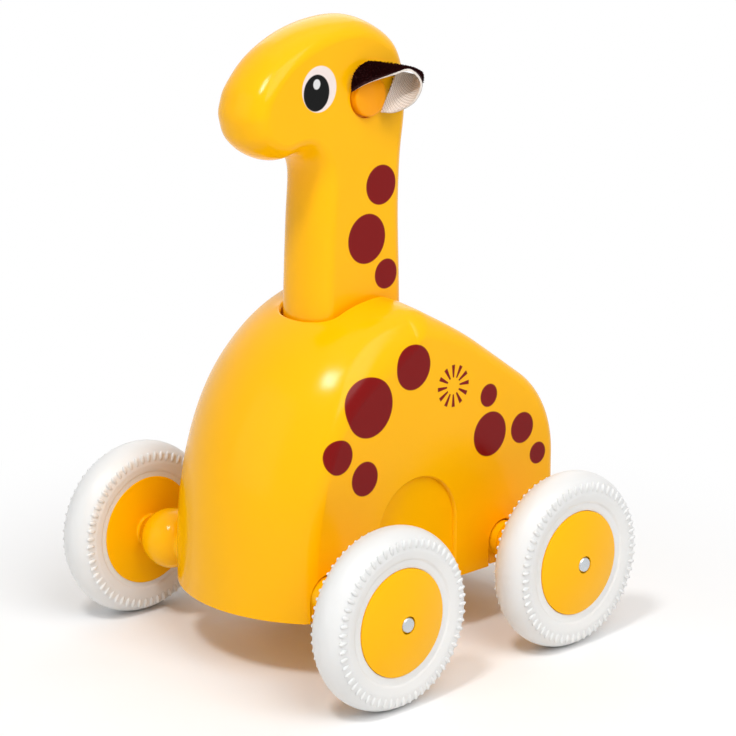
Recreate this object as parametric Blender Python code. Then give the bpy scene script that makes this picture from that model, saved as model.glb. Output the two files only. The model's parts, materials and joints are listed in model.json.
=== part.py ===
"""Press-and-go giraffe on four wheels, as separate pieces in metres.

+X is forward, +Y is the toy's left, +Z is up, the floor is z = 0.
"""
import math

import bmesh
import bpy
from mathutils import Matrix, Vector

# Wheels and axles
WHEEL_RADIUS = 0.0250
WHEELBASE = 0.0678
HUB_RADIUS = 0.0150
HUB_WIDTH = 0.0102
HUB_CLEARANCE = 0.0005
HUB_DOME = 0.0023
HUB_BOSS = 0.0009
HUB_EDGE = 0.0006
TYRE_HALF_WIDTH = 0.0056
TYRE_BEAD_HALF_WIDTH = 0.0048
TYRE_STEP_RADIUS = 0.0170
TYRE_STEP = 0.0003
TYRE_CROWN_HALF_WIDTH = 0.0012
AXLE_RADIUS = 0.00225
AXLE_PROUD = 0.0003
AXLE_CHAMFER = 0.0006
BALL_RADIUS = 0.0085
BUSH_NECK_RADIUS = 0.0052
BUSH_TONGUE = 0.0048
TONGUE_RECESS = 0.0006
WHEEL_SEGMENTS = 32

# Body shell
BODY_HALF_WIDTH = 0.0280
FRONT_OVERHANG = 0.0161
REAR_OVERHANG = 0.0215
AXLE_HEIGHT = 0.0070
DOME_BASE_Z = 0.0249
DOME_POWER = 2.15
CREST_X = 0.0005
CREST_Z = 0.0988
CREST_RADIUS = 0.0137
BACK_SLOPE = math.radians(35.3)
RUMP_RADIUS = 0.0310
FRONT_PLAN_RADIUS = 0.0450
FRONT_FILLET = 0.0065
BACK_FILLET = 0.0038
CREST_FILLET = 0.0055
CREST_FILLET_X = 0.0082
CREST_FILLET_REACH = 0.0200
BLEND_FRONT_X = 0.0300
BLEND_REAR_X = -0.0245
WALL = 0.0030
ARCH_RADIUS = 0.0151
ARCH_SPRING_Z = 0.0350
ARCH_DEPTH = 0.0016

# Head and neck
NECK_CENTRE_X = 0.0024
NECK_HALF_LENGTH = 0.0166
NECK_HALF_WIDTH = 0.0095
NECK_EDGE_ROUND = 0.0056
NECK_FOOT_Z = 0.0815
NECK_CLEARANCE = 0.0010
COLLAR_WALL = 0.0022
HEAD_TOP_Z = 0.1750
CHIN_Z = 0.1389
MUZZLE_X = 0.0418
MUZZLE_Z = 0.1517
HEAD_WALL = 0.0022

# Ears
EAR_X = 0.0018
EAR_BELOW_TOP = 0.0212
EAR_PLUG_RADIUS = 0.0050
EAR_PLUG_END_Y = 0.0135
EAR_PLUG_SHOULDER = 0.0012
EAR_PLUG_DEPTH = 0.0050
EAR_WIDTH = 0.0106
EAR_THICKNESS = 0.0011
EAR_STEPS = 4

# Drive
STROKE = 0.0220
RACK_MODULE = 0.0010
TRAIN_MODULE = 0.0008
PINION_TEETH = 10
MAIN_TEETH = 28
SECOND_TEETH = 20
AXLE_TEETH = 12
PRESSURE_ANGLE = math.radians(25.0)
ADDENDUM = 0.85
DEDENDUM = 1.12
BACKLASH = 0.00022
RACK_PITCH_X = -0.0185
RACK_DEPTH = 0.0036
RACK_WIDTH = 0.0060
RACK_OVERRUN = 0.0120
MAIN_GEAR_RISE = 0.0083
MAIN_GEAR_WIDTH = 0.0030
FINAL_GEAR_WIDTH = 0.0026
GEAR_GAP = 0.0004
RACK_ROOM = 0.0020
PLATE_INNER_THICKNESS = 0.0020
PLATE_INNER_ROOM = 0.0016
PLATE_OUTER_THICKNESS = 0.0016
GEARBOX_ROOM = 0.0020
SHAFT_RADIUS = 0.0015
MAIN_SLEEVE_WALL = 0.0015
SECOND_SLEEVE_WALL = 0.0010
AXLE_SLEEVE_WALL = 0.0012
AXLE_GEAR_ROOM = 0.0008
PLATE_MARGIN = 0.0055
CLUTCH_PIN_RADIUS = 0.0010
CLUTCH_GAP = 0.0005
CLUTCH_PLAY = 0.0012
SECOND_GEAR_ANGLE = math.radians(-86.0)

# Base, post, spring and screws
BASE_THICKNESS = 0.0020
BASE_PROUD = 0.0003
POCKET_DEPTH = 0.0012
POST_RADIUS = 0.0032
POST_TOP_Z = 0.0660
POST_CLEARANCE = 0.0004
SPRING_RADIUS = 0.0047
SPRING_WIRE = 0.00055
SPRING_TURNS = 10
SCREW_RADIUS = 0.0010
SCREW_HEAD_RADIUS = 0.0027
SCREW_LENGTH = 0.0120
SCREW_HEAD_HEIGHT = 0.0006
SCREW_SINK = 0.0009
SCREW_FRONT_ROOM = 0.00165
SCREW_FRONT_INSET = 0.0160
SCREW_REAR_ROOM = 0.00715
SCREW_REAR_INSET = 0.0085
BOSS_RADIUS = 0.0032
FLANGE_THICKNESS = 0.0027
FLANGE_LIP = 0.0030
SPIGOT_HEIGHT = 0.0065

# Gaps between pieces that touch, the overlap of shapes joined in one piece, and a cutter's overrun
GAP = 0.0003
FIT = 0.0002
JOIN = 0.0004
PAST = 0.0040

# Places that follow from the sizes: heights from the axle, and the wheels' and gears' stack across the body
BODY_BOTTOM_Z = WHEEL_RADIUS - AXLE_HEIGHT
BODY_FRONT_X = 0.5 * WHEELBASE + FRONT_OVERHANG
BODY_REAR_X = 0.5 * WHEELBASE + REAR_OVERHANG
EAR_Z = HEAD_TOP_Z - EAR_BELOW_TOP
BUSH_INNER_Y = BODY_HALF_WIDTH - BUSH_TONGUE
HUB_INNER_Y = BODY_HALF_WIDTH + GAP + 2.0 * BALL_RADIUS + HUB_CLEARANCE + HUB_BOSS
HUB_OUTER_Y = HUB_INNER_Y + HUB_WIDTH
AXLE_HALF_LENGTH = HUB_OUTER_Y + HUB_DOME + AXLE_PROUD
PLATE_OUTER_END_Y = BODY_HALF_WIDTH - WALL - GEARBOX_ROOM
PLATE_OUTER_Y = (PLATE_OUTER_END_Y - PLATE_OUTER_THICKNESS, PLATE_OUTER_END_Y)
FINAL_GEAR_Y = (PLATE_OUTER_Y[0] - GEAR_GAP - FINAL_GEAR_WIDTH, PLATE_OUTER_Y[0] - GEAR_GAP)
MAIN_GEAR_Y = (FINAL_GEAR_Y[0] - GEAR_GAP - MAIN_GEAR_WIDTH, FINAL_GEAR_Y[0] - GEAR_GAP)
RACK_Y = (MAIN_GEAR_Y[0] - RACK_ROOM - RACK_WIDTH, MAIN_GEAR_Y[0] - RACK_ROOM)
PLATE_INNER_END_Y = RACK_Y[0] - PLATE_INNER_ROOM
PLATE_INNER_Y = (PLATE_INNER_END_Y - PLATE_INNER_THICKNESS, PLATE_INNER_END_Y)

YELLOW = (1.0, 0.53, 0.0, 1.0)
WHITE = (0.90, 0.90, 0.88, 1.0)
STEEL = (0.60, 0.62, 0.64, 1.0)
PALE = (0.80, 0.78, 0.72, 1.0)
DARK = (0.03, 0.006, 0.005, 1.0)


def clear_scene():
    for ob in list(bpy.data.objects):
        bpy.data.objects.remove(ob, do_unlink=True)


def make_object(name, verts, faces):
    mesh = bpy.data.meshes.new(name)
    mesh.from_pydata([tuple(v) for v in verts], [], faces)
    bm = bmesh.new()
    bm.from_mesh(mesh)
    bmesh.ops.remove_doubles(bm, verts=bm.verts, dist=1e-7)
    bmesh.ops.recalc_face_normals(bm, faces=bm.faces)
    bm.to_mesh(mesh)
    bm.free()
    ob = bpy.data.objects.new(name, mesh)
    bpy.context.scene.collection.objects.link(ob)
    return ob


def combine(ob, tool, operation):
    mod = ob.modifiers.new("combine", "BOOLEAN")
    mod.operation = operation
    mod.solver = "EXACT"
    mod.object = tool
    graph = bpy.context.evaluated_depsgraph_get()
    graph.update()
    mesh = bpy.data.meshes.new_from_object(ob.evaluated_get(graph))
    ob.modifiers.clear()
    ob.data = mesh
    bpy.data.objects.remove(tool, do_unlink=True)
    return ob


def add(ob, *tools):
    for tool in tools:
        combine(ob, tool, "UNION")
    return ob


def cut(ob, *tools):
    for tool in tools:
        combine(ob, tool, "DIFFERENCE")
    return ob


def finish(ob, colour, roughness, metallic=0.0, origin=(0.0, 0.0, 0.0), crease=35.0):
    shift = Vector(origin)
    ob.data.transform(Matrix.Translation(-shift))
    ob.location = shift
    for poly in ob.data.polygons:
        poly.use_smooth = True
    ob.data.set_sharp_from_angle(angle=math.radians(crease))
    mat = bpy.data.materials.new(ob.name)
    mat.use_nodes = True
    shader = mat.node_tree.nodes["Principled BSDF"]
    shader.inputs["Base Color"].default_value = colour
    shader.inputs["Roughness"].default_value = roughness
    shader.inputs["Metallic"].default_value = metallic
    ob.data.materials.clear()
    ob.data.materials.append(mat)
    return ob


def stack_rings(name, rings, closed=False):
    """Join equal rings of points; each end is capped unless the stack closes on itself."""
    verts = [p for ring in rings for p in ring]
    count = len(rings[0])
    faces = []
    last = len(rings) if closed else len(rings) - 1
    for i in range(last):
        a = i * count
        b = ((i + 1) % len(rings)) * count
        for j in range(count):
            k = (j + 1) % count
            faces.append((a + j, a + k, b + k, b + j))
    if not closed:
        faces.append(tuple(range(count)))
        faces.append(tuple(range(len(verts) - count, len(verts))))
    return make_object(name, verts, faces)


def prism_y(name, outline, y0, y1):
    return stack_rings(name, [[(u, y, v) for u, v in outline] for y in (y0, y1)])


def prism_z(name, outline, z0, z1):
    return stack_rings(name, [[(u, v, z) for u, v in outline] for z in (z0, z1)])


def circle(cx, cy, radius, count, phase=0.0):
    steps = [phase + 2.0 * math.pi * i / count for i in range(count)]
    return [(cx + radius * math.cos(a), cy + radius * math.sin(a)) for a in steps]


def flat_sided(half, width, edge, steps):
    """Half of a flat-sided section with rounded ends, from end to end as (along, across)."""
    points = []
    for i in range(steps + 1):
        a = 0.5 * math.pi * i / steps
        points.append((edge * (1.0 - math.cos(a)) - half, width * math.sin(a)))
    return points + [(-u, v) for u, v in reversed(points)]


def rod_y(name, cx, cz, radius, y0, y1, count=24):
    return prism_y(name, circle(cx, cz, radius, count), y0, y1)


def rod_z(name, cx, cy, radius, z0, z1, count=20):
    return prism_z(name, circle(cx, cy, radius, count), z0, z1)


def box(name, x0, x1, y0, y1, z0, z1):
    return prism_z(name, [(x0, y0), (x1, y0), (x1, y1), (x0, y1)], z0, z1)


def lathe_y(name, profile, cx, cz, count, bored):
    """Turn (radius, y) points about the Y axis through (cx, cz)."""
    rings = []
    for i in range(count):
        a = 2.0 * math.pi * i / count
        rings.append([(cx + r * math.cos(a), y, cz + r * math.sin(a)) for r, y in profile])
    if bored:
        return stack_rings(name, rings, closed=True)
    verts = [p for ring in rings for p in ring]
    size = len(profile)
    faces = []
    for i in range(count):
        a = i * size
        b = ((i + 1) % count) * size
        for j in range(size - 1):
            if j == 0:
                faces.append((a, a + 1, b + 1))
            elif j == size - 2:
                faces.append((a + j, a + j + 1, b + j))
            else:
                faces.append((a + j, a + j + 1, b + j + 1, b + j))
    return make_object(name, verts, faces)


def ease(t):
    t = min(max(t, 0.0), 1.0)
    return t * t * (3.0 - 2.0 * t)


def body_profile(steps):
    """Side outline of the body, front foot to rear foot, at the middle plane."""
    points = [(BODY_FRONT_X, BODY_BOTTOM_Z)]
    for i in range(steps + 1):
        a = 0.5 * math.pi * i / steps
        x = CREST_X + (BODY_FRONT_X - CREST_X) * max(math.cos(a), 0.0) ** (2.0 / DOME_POWER)
        z = DOME_BASE_Z + (CREST_Z - DOME_BASE_Z) * math.sin(a) ** (2.0 / DOME_POWER)
        points.append((x, z))
    for i in range(1, 5):
        a = BACK_SLOPE * i / 4
        points.append((CREST_X - CREST_RADIUS * math.sin(a), CREST_Z - CREST_RADIUS * (1.0 - math.cos(a))))
    x0, z0 = points[-1]
    cx = RUMP_RADIUS - BODY_REAR_X
    cz = z0 + (math.sin(BACK_SLOPE) * (cx - x0) - RUMP_RADIUS) / math.cos(BACK_SLOPE)
    start = 0.5 * math.pi + BACK_SLOPE
    x1 = cx + RUMP_RADIUS * math.cos(start)
    z1 = cz + RUMP_RADIUS * math.sin(start)
    for i in range(1, 4):
        points.append((x0 + (x1 - x0) * i / 3, z0 + (z1 - z0) * i / 3))
    for i in range(1, 7):
        a = start + (math.pi - start) * i / 6
        points.append((cx + RUMP_RADIUS * math.cos(a), cz + RUMP_RADIUS * math.sin(a)))
    points.append((-BODY_REAR_X, BODY_BOTTOM_Z))
    return points


def body_rows(inset, steps, across):
    """Rows of points over the body from flank to flank, set in from the outside by inset."""
    profile = body_profile(steps)
    half = BODY_HALF_WIDTH - inset
    rows = []
    for i, (px, pz) in enumerate(profile):
        ax, az = profile[max(i - 1, 0)]
        bx, bz = profile[min(i + 1, len(profile) - 1)]
        length = math.hypot(bx - ax, bz - az)
        nx = (bz - az) / length
        nz = -(bx - ax) / length
        if i == 0 or i == len(profile) - 1:
            nx = math.copysign(1.0, nx)
            nz = 0.0
        front = ease((px - BLEND_REAR_X) / (BLEND_FRONT_X - BLEND_REAR_X))
        crest = math.exp(-(((px - CREST_FILLET_X) / CREST_FILLET_REACH) ** 2))
        crest *= ease((2.2 * pz - 0.9 * CREST_Z) / CREST_Z)
        fillet = FRONT_FILLET * front + BACK_FILLET * (1.0 - front) + CREST_FILLET * crest
        fillet = max(fillet - inset, 0.001)
        row = []
        for j in range(across + 1):
            y = half * math.sin(0.5 * math.pi * (2.0 * j / across - 1.0))
            edge = min(max((abs(y) - (half - fillet)) / fillet, 0.0), 1.0)
            drop = front * (FRONT_PLAN_RADIUS - math.sqrt(FRONT_PLAN_RADIUS ** 2 - y * y))
            drop += fillet * (1.0 - math.sqrt(max(1.0 - edge * edge, 0.0))) + inset
            row.append((px - drop * nx, y, pz - drop * nz))
        rows.append(row)
    return rows


def body_solid(name, inset, steps, across, foot):
    rows = body_rows(inset, steps, across)
    rows.insert(0, [(x, y, foot) for x, y, z in rows[0]])
    rows.append([(x, y, foot) for x, y, z in rows[-1]])
    count = across + 1
    verts = [p for row in rows for p in row]
    faces = []
    for i in range(len(rows) - 1):
        for j in range(across):
            a = i * count + j
            faces.append((a, a + 1, a + count + 1, a + count))
    last = (len(rows) - 1) * count
    faces.append(tuple(i * count for i in range(len(rows))))
    faces.append(tuple(i * count + across for i in range(len(rows))))
    faces.append(tuple(range(count)) + tuple(range(last + across, last - 1, -1)))
    return make_object(name, verts, faces)


def axle_places():
    half = 0.5 * WHEELBASE
    return (("front", half), ("rear", -half))


def slot_outline(cx, half):
    low = BODY_BOTTOM_Z - PAST
    points = [(cx - half, low), (cx + half, low)]
    for i in range(13):
        a = math.pi * i / 12
        points.append((cx + half * math.cos(a), WHEEL_RADIUS + half * math.sin(a)))
    return points


def screw_places():
    reach = 0.5 * WHEELBASE + AXLE_RADIUS + BOSS_RADIUS
    front = ("front", reach + SCREW_FRONT_ROOM, SCREW_FRONT_INSET)
    rear = ("rear", -reach - SCREW_REAR_ROOM, SCREW_REAR_INSET)
    for tag, x, inset in (front, rear):
        yield tag + "_left", x, BODY_HALF_WIDTH - inset
        yield tag + "_right", x, inset - BODY_HALF_WIDTH


def base_top():
    return BODY_BOTTOM_Z - BASE_PROUD + BASE_THICKNESS


def neck_outline(grow):
    """The neck's section seen from above, grown or shrunk all round."""
    side = flat_sided(NECK_HALF_LENGTH + grow, NECK_HALF_WIDTH + grow, NECK_EDGE_ROUND + grow, 7)
    side = [(NECK_CENTRE_X + u, v) for u, v in side]
    return side + [(x, -y) for x, y in reversed(side[1:-1])]


def build_shell():
    top = CREST_Z + PAST
    cavity = body_solid("cavity", WALL, 10, 12, BODY_BOTTOM_Z - PAST)
    cut(cavity, prism_z("collar", neck_outline(NECK_CLEARANCE + COLLAR_WALL), NECK_FOOT_Z, top))
    for tag, x, y in screw_places():
        cut(cavity, rod_z("boss", x, y, BOSS_RADIUS, base_top() + GAP, top))
    shell = body_solid("body_shell", 0.0, 16, 20, BODY_BOTTOM_Z)
    cut(shell, cavity, prism_z("hole", neck_outline(NECK_CLEARANCE), NECK_FOOT_Z - PAST, top))
    for tag, x in axle_places():
        for side in (1.0, -1.0):
            ends = sorted((side * (BUSH_INNER_Y - PAST), side * (BODY_HALF_WIDTH + PAST)))
            cut(shell, prism_y("slot", slot_outline(x, BUSH_NECK_RADIUS + GAP), *ends))
    for side in (1.0, -1.0):
        low = BODY_BOTTOM_Z - PAST
        arch = [(-ARCH_RADIUS, low), (ARCH_RADIUS, low)]
        for i in range(19):
            a = math.pi * i / 18
            arch.append((ARCH_RADIUS * math.cos(a), ARCH_SPRING_Z + ARCH_RADIUS * math.sin(a)))
        ends = sorted((side * (BODY_HALF_WIDTH - ARCH_DEPTH), side * (BODY_HALF_WIDTH + PAST)))
        cut(shell, prism_y("arch", arch, *ends))
    for tag, x, y in screw_places():
        high = base_top() + SCREW_LENGTH
        cut(shell, rod_z("pilot", x, y, SCREW_RADIUS + GAP, base_top() - PAST, high))
    finish(shell, YELLOW, 0.12)


def build_base():
    low = BODY_BOTTOM_Z - BASE_PROUD
    top = base_top()
    rows = body_rows(WALL + GAP, 10, 12)
    outline = [(x, y) for x, y, z in rows[0]] + [(x, y) for x, y, z in reversed(rows[-1])]
    base = prism_z("base_plate", outline, low, top)
    add(base, rod_z("post", NECK_CENTRE_X, 0.0, POST_RADIUS, top - JOIN, POST_TOP_Z, 20))
    notch = BUSH_NECK_RADIUS + GAP
    for tag, x in axle_places():
        for side in (1.0, -1.0):
            ends = sorted((side * (BUSH_INNER_Y - GAP), side * BODY_HALF_WIDTH))
            cut(base, box("notch", x - notch, x + notch, *ends, low - PAST, top + PAST))
    reach = TRAIN_MODULE * (0.5 * AXLE_TEETH + ADDENDUM) + AXLE_GEAR_ROOM
    axle_x = -0.5 * WHEELBASE
    y0, y1 = FINAL_GEAR_Y
    floor = top - POCKET_DEPTH
    cut(base, box("pocket", axle_x - reach, axle_x + reach, y0 - GAP, y1 + GAP, floor, top + PAST))
    for tag, x, y in screw_places():
        cut(base, rod_z("sink", x, y, SCREW_HEAD_RADIUS + GAP, low - PAST, low + SCREW_SINK))
        cut(base, rod_z("through", x, y, SCREW_RADIUS + GAP, low - PAST, top + PAST))
    finish(base, YELLOW, 0.35)
    for tag, x, y in screw_places():
        head = low + SCREW_SINK - FIT
        screw = rod_z("base_screw_" + tag, x, y, SCREW_HEAD_RADIUS, head - SCREW_HEAD_HEIGHT, head, 16)
        add(screw, rod_z("shank", x, y, SCREW_RADIUS, head - JOIN, low + SCREW_LENGTH, 12))
        finish(screw, STEEL, 0.3, 1.0)


def build_wheels():
    middle = 0.5 * (HUB_INNER_Y + HUB_OUTER_Y)
    for tag, x in axle_places():
        origin = (x, 0.0, WHEEL_RADIUS)
        end = AXLE_HALF_LENGTH
        ends = [(0.0, -end), (0.7 * AXLE_RADIUS, -end), (AXLE_RADIUS, -end + AXLE_CHAMFER)]
        profile = ends + [(r, -y) for r, y in reversed(ends)]
        axle = lathe_y("axle_" + tag, profile, x, WHEEL_RADIUS, 20, False)
        finish(axle, STEEL, 0.25, 1.0, origin)
        for word, side in (("left", 1.0), ("right", -1.0)):
            name = tag + "_" + word
            bore = AXLE_RADIUS + FIT
            boss = 2.0 * AXLE_RADIUS
            hub = [(bore, HUB_INNER_Y - HUB_BOSS), (boss, HUB_INNER_Y - HUB_BOSS), (boss, HUB_INNER_Y)]
            hub += [(HUB_RADIUS, HUB_INNER_Y), (HUB_RADIUS, HUB_OUTER_Y - HUB_EDGE)]
            for i in range(4):
                r = bore + (HUB_RADIUS - HUB_EDGE - bore) * (1.0 - i / 3.0)
                hub.append((r, HUB_OUTER_Y + HUB_DOME * (1.0 - (r / HUB_RADIUS) ** 2)))
            hub = [(r, side * y) for r, y in hub]
            wheel = lathe_y("hub_" + name, hub, x, WHEEL_RADIUS, WHEEL_SEGMENTS, True)
            finish(wheel, YELLOW, 0.12, 0.0, origin)
            bore = HUB_RADIUS + GAP
            rise = WHEEL_RADIUS - TYRE_STEP_RADIUS
            face = [(bore, TYRE_BEAD_HALF_WIDTH), (TYRE_STEP_RADIUS, TYRE_BEAD_HALF_WIDTH)]
            face += [(TYRE_STEP_RADIUS + TYRE_STEP, TYRE_HALF_WIDTH - TYRE_STEP)]
            face += [(TYRE_STEP_RADIUS + 0.55 * rise, TYRE_HALF_WIDTH)]
            for i in range(1, 3):
                a = 0.5 * math.pi * i / 3
                r = WHEEL_RADIUS - 0.45 * rise * (1.0 - math.sin(a))
                face.append((r, TYRE_HALF_WIDTH * (0.25 + 0.75 * math.cos(a))))
            face.append((WHEEL_RADIUS, TYRE_CROWN_HALF_WIDTH))
            tyre = [(r, side * (middle - y)) for r, y in face]
            tyre += [(r, side * (middle + y)) for r, y in reversed(face)]
            wheel = lathe_y("tyre_" + name, tyre, x, WHEEL_RADIUS, WHEEL_SEGMENTS, True)
            finish(wheel, WHITE, 0.4, 0.0, origin)


def build_bushes():
    centre = BODY_HALF_WIDTH + GAP + BALL_RADIUS
    for tag, x in axle_places():
        for word, side in (("left", 1.0), ("right", -1.0)):
            start = math.asin(BUSH_NECK_RADIUS / BALL_RADIUS)
            profile = [(0.0, side * BUSH_INNER_Y), (BUSH_NECK_RADIUS, side * BUSH_INNER_Y)]
            for i in range(7):
                a = start + (math.pi - start) * i / 6
                y = centre - BALL_RADIUS * math.cos(a)
                profile.append((BALL_RADIUS * max(math.sin(a), 0.0), side * y))
            bush = lathe_y("axle_bush_" + tag + "_" + word, profile, x, WHEEL_RADIUS, 18, False)
            ends = sorted((side * BUSH_INNER_Y, side * (BODY_HALF_WIDTH - TONGUE_RECESS)))
            low = BODY_BOTTOM_Z + GAP
            half = 0.99 * BUSH_NECK_RADIUS
            add(bush, box("tongue", x - half, x + half, *ends, low, WHEEL_RADIUS))
            ends = sorted((side * (BUSH_INNER_Y - PAST), side * (centre + BALL_RADIUS + PAST)))
            cut(bush, rod_y("bore", x, WHEEL_RADIUS, AXLE_RADIUS + GAP, *ends, 16))
            finish(bush, YELLOW, 0.12, 0.0, (x, 0.0, WHEEL_RADIUS))


def curve_through(stations, steps):
    """Smooth rows between loft stations (Catmull-Rom)."""
    first = [2.0 * a - b for a, b in zip(stations[0], stations[1])]
    last = [2.0 * a - b for a, b in zip(stations[-1], stations[-2])]
    points = [first] + [list(s) for s in stations] + [last]
    rows = []
    for i in range(1, len(points) - 2):
        for k in range(steps):
            t = k / steps
            row = []
            for a, b, c, d in zip(*points[i - 1:i + 3]):
                bend = (2.0 * a - 5.0 * b + 4.0 * c - d) * t * t
                row.append(0.5 * (2.0 * b + (c - a) * t + bend + (3.0 * b - a - 3.0 * c + d) * t ** 3))
            rows.append(row)
    rows.append(list(stations[-1]))
    return rows


def head_stations():
    """Loft stations up the neck and round the head: throat side, nape side, half width."""
    cx = NECK_CENTRE_X
    nl = NECK_HALF_LENGTH
    nw = NECK_HALF_WIDTH
    mx = MUZZLE_X
    cz = CHIN_Z
    hz = HEAD_TOP_Z - CHIN_Z
    return [
        (cx + 1.03 * nl, NECK_FOOT_Z, cx - 1.03 * nl, NECK_FOOT_Z, nw),
        (cx + 1.014 * nl, cz - 1.07 * hz, cx - 1.014 * nl, cz - 1.07 * hz, nw),
        (cx + 0.955 * nl, cz - 0.52 * hz, cx - 0.985 * nl, cz - 0.52 * hz, nw),
        (cx + 0.91 * nl, cz - 0.16 * hz, cx - 1.02 * nl, cz - 0.10 * hz, nw),
        (0.48 * mx, cz - 0.014 * hz, cx - 1.115 * nl, cz + 0.23 * hz, nw),
        (0.53 * mx, cz + 0.022 * hz, cx - 1.104 * nl, cz + 0.50 * hz, nw),
        (0.585 * mx, cz + 0.022 * hz, -0.28 * mx, cz + 0.79 * hz, nw),
        (0.645 * mx, cz + 0.006 * hz, -0.03 * mx, cz + 0.97 * hz, nw),
        (0.71 * mx, cz, 0.21 * mx, HEAD_TOP_Z, nw),
        (0.79 * mx, cz + 0.021 * hz, 0.50 * mx, cz + 0.935 * hz, nw),
        (0.880 * mx, cz + 0.077 * hz, 0.760 * mx, cz + 0.784 * hz, 0.98 * nw),
        (0.958 * mx, cz + 0.171 * hz, 0.935 * mx, cz + 0.577 * hz, 0.78 * nw),
        (0.990 * mx, cz + 0.285 * hz, 0.985 * mx, cz + 0.443 * hz, 0.45 * nw),
        (mx, MUZZLE_Z - 0.025 * hz, mx, MUZZLE_Z + 0.025 * hz, 0.08 * nw),
    ]


def head_half(name, side):
    """One half of the hollow head and neck, split on the middle plane."""
    rows = curve_through(head_stations(), 2)
    verts = []
    for tx, tz, nx, nz, width in rows:
        half = 0.5 * math.hypot(nx - tx, nz - tz)
        for wall in (0.0, HEAD_WALL):
            long = half * (1.0 - min(wall / half, 0.6))
            wide = width * (1.0 - min(wall / width, 0.6))
            back = 0.8 * wall * ease((tx - 0.7 * MUZZLE_X) / (0.3 * MUZZLE_X))
            section = flat_sided(long, wide, min(NECK_EDGE_ROUND - wall, long), 4)
            for u, v in section:
                x = 0.5 * (tx + nx) + 0.5 * (nx - tx) * u / half - back
                z = 0.5 * (tz + nz) + 0.5 * (nz - tz) * u / half
                verts.append((x, side * v, z))
    count = len(section)
    around = count - 1
    size = 2 * count
    faces = []
    for i in range(len(rows) - 1):
        a = i * size
        b = a + size
        for j in range(around):
            faces.append((a + j, a + j + 1, b + j + 1, b + j))
            faces.append((a + count + j, b + count + j, b + count + j + 1, a + count + j + 1))
        faces.append((a, b, b + count, a + count))
        faces.append((a + around, a + count + around, b + count + around, b + around))
    for j in range(around):
        faces.append((j, count + j, count + j + 1, j + 1))
    tip = (len(rows) - 1) * size
    faces.append(tuple(tip + j for j in range(count)))
    faces.append(tuple(tip + count + j for j in range(count)))
    faces.append((tip, tip + count, tip + count + around, tip + around))
    return make_object(name, verts, faces)


def build_head():
    for word, side in (("left", 1.0), ("right", -1.0)):
        half = head_half("head_" + word, side)
        seat = EAR_PLUG_RADIUS - EAR_PLUG_SHOULDER
        root = NECK_HALF_WIDTH + GAP
        inner = root - EAR_PLUG_DEPTH
        ends = sorted((side * (inner - PAST), side * (EAR_PLUG_END_Y + PAST)))
        cut(half, rod_y("socket", EAR_X, EAR_Z, seat + GAP, *ends))
        finish(half, YELLOW, 0.12, 0.0, (NECK_CENTRE_X, 0.0, NECK_FOOT_Z), 50.0)
        dome = 0.4 * (EAR_PLUG_END_Y - root)
        profile = [(0.0, inner), (seat, inner), (seat, root), (EAR_PLUG_RADIUS, root)]
        for i in range(5):
            a = 0.5 * math.pi * i / 4
            r = EAR_PLUG_RADIUS * (0.35 + 0.65 * math.cos(a))
            profile.append((r, EAR_PLUG_END_Y - dome * (1.0 - math.sin(a))))
        profile.append((0.0, EAR_PLUG_END_Y))
        profile = [(r, side * y) for r, y in profile]
        plug = lathe_y("ear_plug_" + word, profile, EAR_X, EAR_Z, 18, False)
        finish(plug, YELLOW, 0.15, 0.0, (EAR_X, 0.0, EAR_Z))


def ear_stations():
    """Outer rim and inner edge (x, y, z each) of the ribbon from its upper end round the tip to its lower end.

    In ribbon widths from the plug's root: both ends lie against the plug, the tip points back and out.
    """
    return [
        (0.62, 0.10, 0.18, 0.01, 0.09, 0.97),
        (0.37, 0.43, 0.42, -0.34, 0.11, 0.93),
        (-0.34, 0.63, 0.59, -0.96, 0.13, 0.75),
        (-0.64, 0.92, 0.69, -1.36, 0.24, 0.60),
        (-0.86, 1.09, 0.34, -1.55, 0.38, 0.29),
        (-0.78, 0.90, -0.13, -1.48, 0.26, 0.11),
        (-0.55, 0.48, -0.42, -1.19, 0.13, 0.26),
        (-0.39, 0.12, -0.46, -0.92, 0.12, 0.39),
    ]


def build_ears():
    for word, side in (("left", 1.0), ("right", -1.0)):
        root = Vector((EAR_X, NECK_HALF_WIDTH, EAR_Z))
        edges = []
        for row in curve_through(ear_stations(), EAR_STEPS):
            edges.append((root + EAR_WIDTH * Vector(row[:3]), root + EAR_WIDTH * Vector(row[3:])))
        rings = []
        for i, (rim, inner) in enumerate(edges):
            before = edges[max(i - 1, 0)]
            after = edges[min(i + 1, len(edges) - 1)]
            normal = (after[0] + after[1] - before[0] - before[1]).cross(rim - inner).normalized()
            step = 0.5 * EAR_THICKNESS * normal
            ring = []
            for corner in (inner - step, rim - step, rim + step, inner + step):
                ring.append((corner.x, side * corner.y, corner.z))
            rings.append(ring)
        ear = stack_rings("ear_ribbon_" + word, rings)
        finish(ear, DARK, 0.9, 0.0, (EAR_X, 0.0, EAR_Z))


def gear_outline(cx, cz, teeth, module, phase):
    """Involute teeth with one tooth centred on the phase angle."""
    pitch = 0.5 * module * teeth
    base = pitch * math.cos(PRESSURE_ANGLE)
    root = pitch - DEDENDUM * module
    tip = pitch + ADDENDUM * module
    half = 0.5 * math.pi / teeth - 0.25 * BACKLASH / pitch
    half += math.tan(PRESSURE_ANGLE) - PRESSURE_ANGLE
    low = max(base, root)
    flank = [(root, low), (pitch, pitch), (tip, tip)]
    points = []
    for t in range(teeth):
        middle = phase + 2.0 * math.pi * t / teeth
        sides = []
        for radius, at in flank:
            tilt = math.acos(min(base / at, 1.0))
            sides.append((radius, half - (math.tan(tilt) - tilt)))
        for radius, a in sides:
            points.append((cx + radius * math.cos(middle - a), cz + radius * math.sin(middle - a)))
        for radius, a in reversed(sides):
            points.append((cx + radius * math.cos(middle + a), cz + radius * math.sin(middle + a)))
    return points


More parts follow.
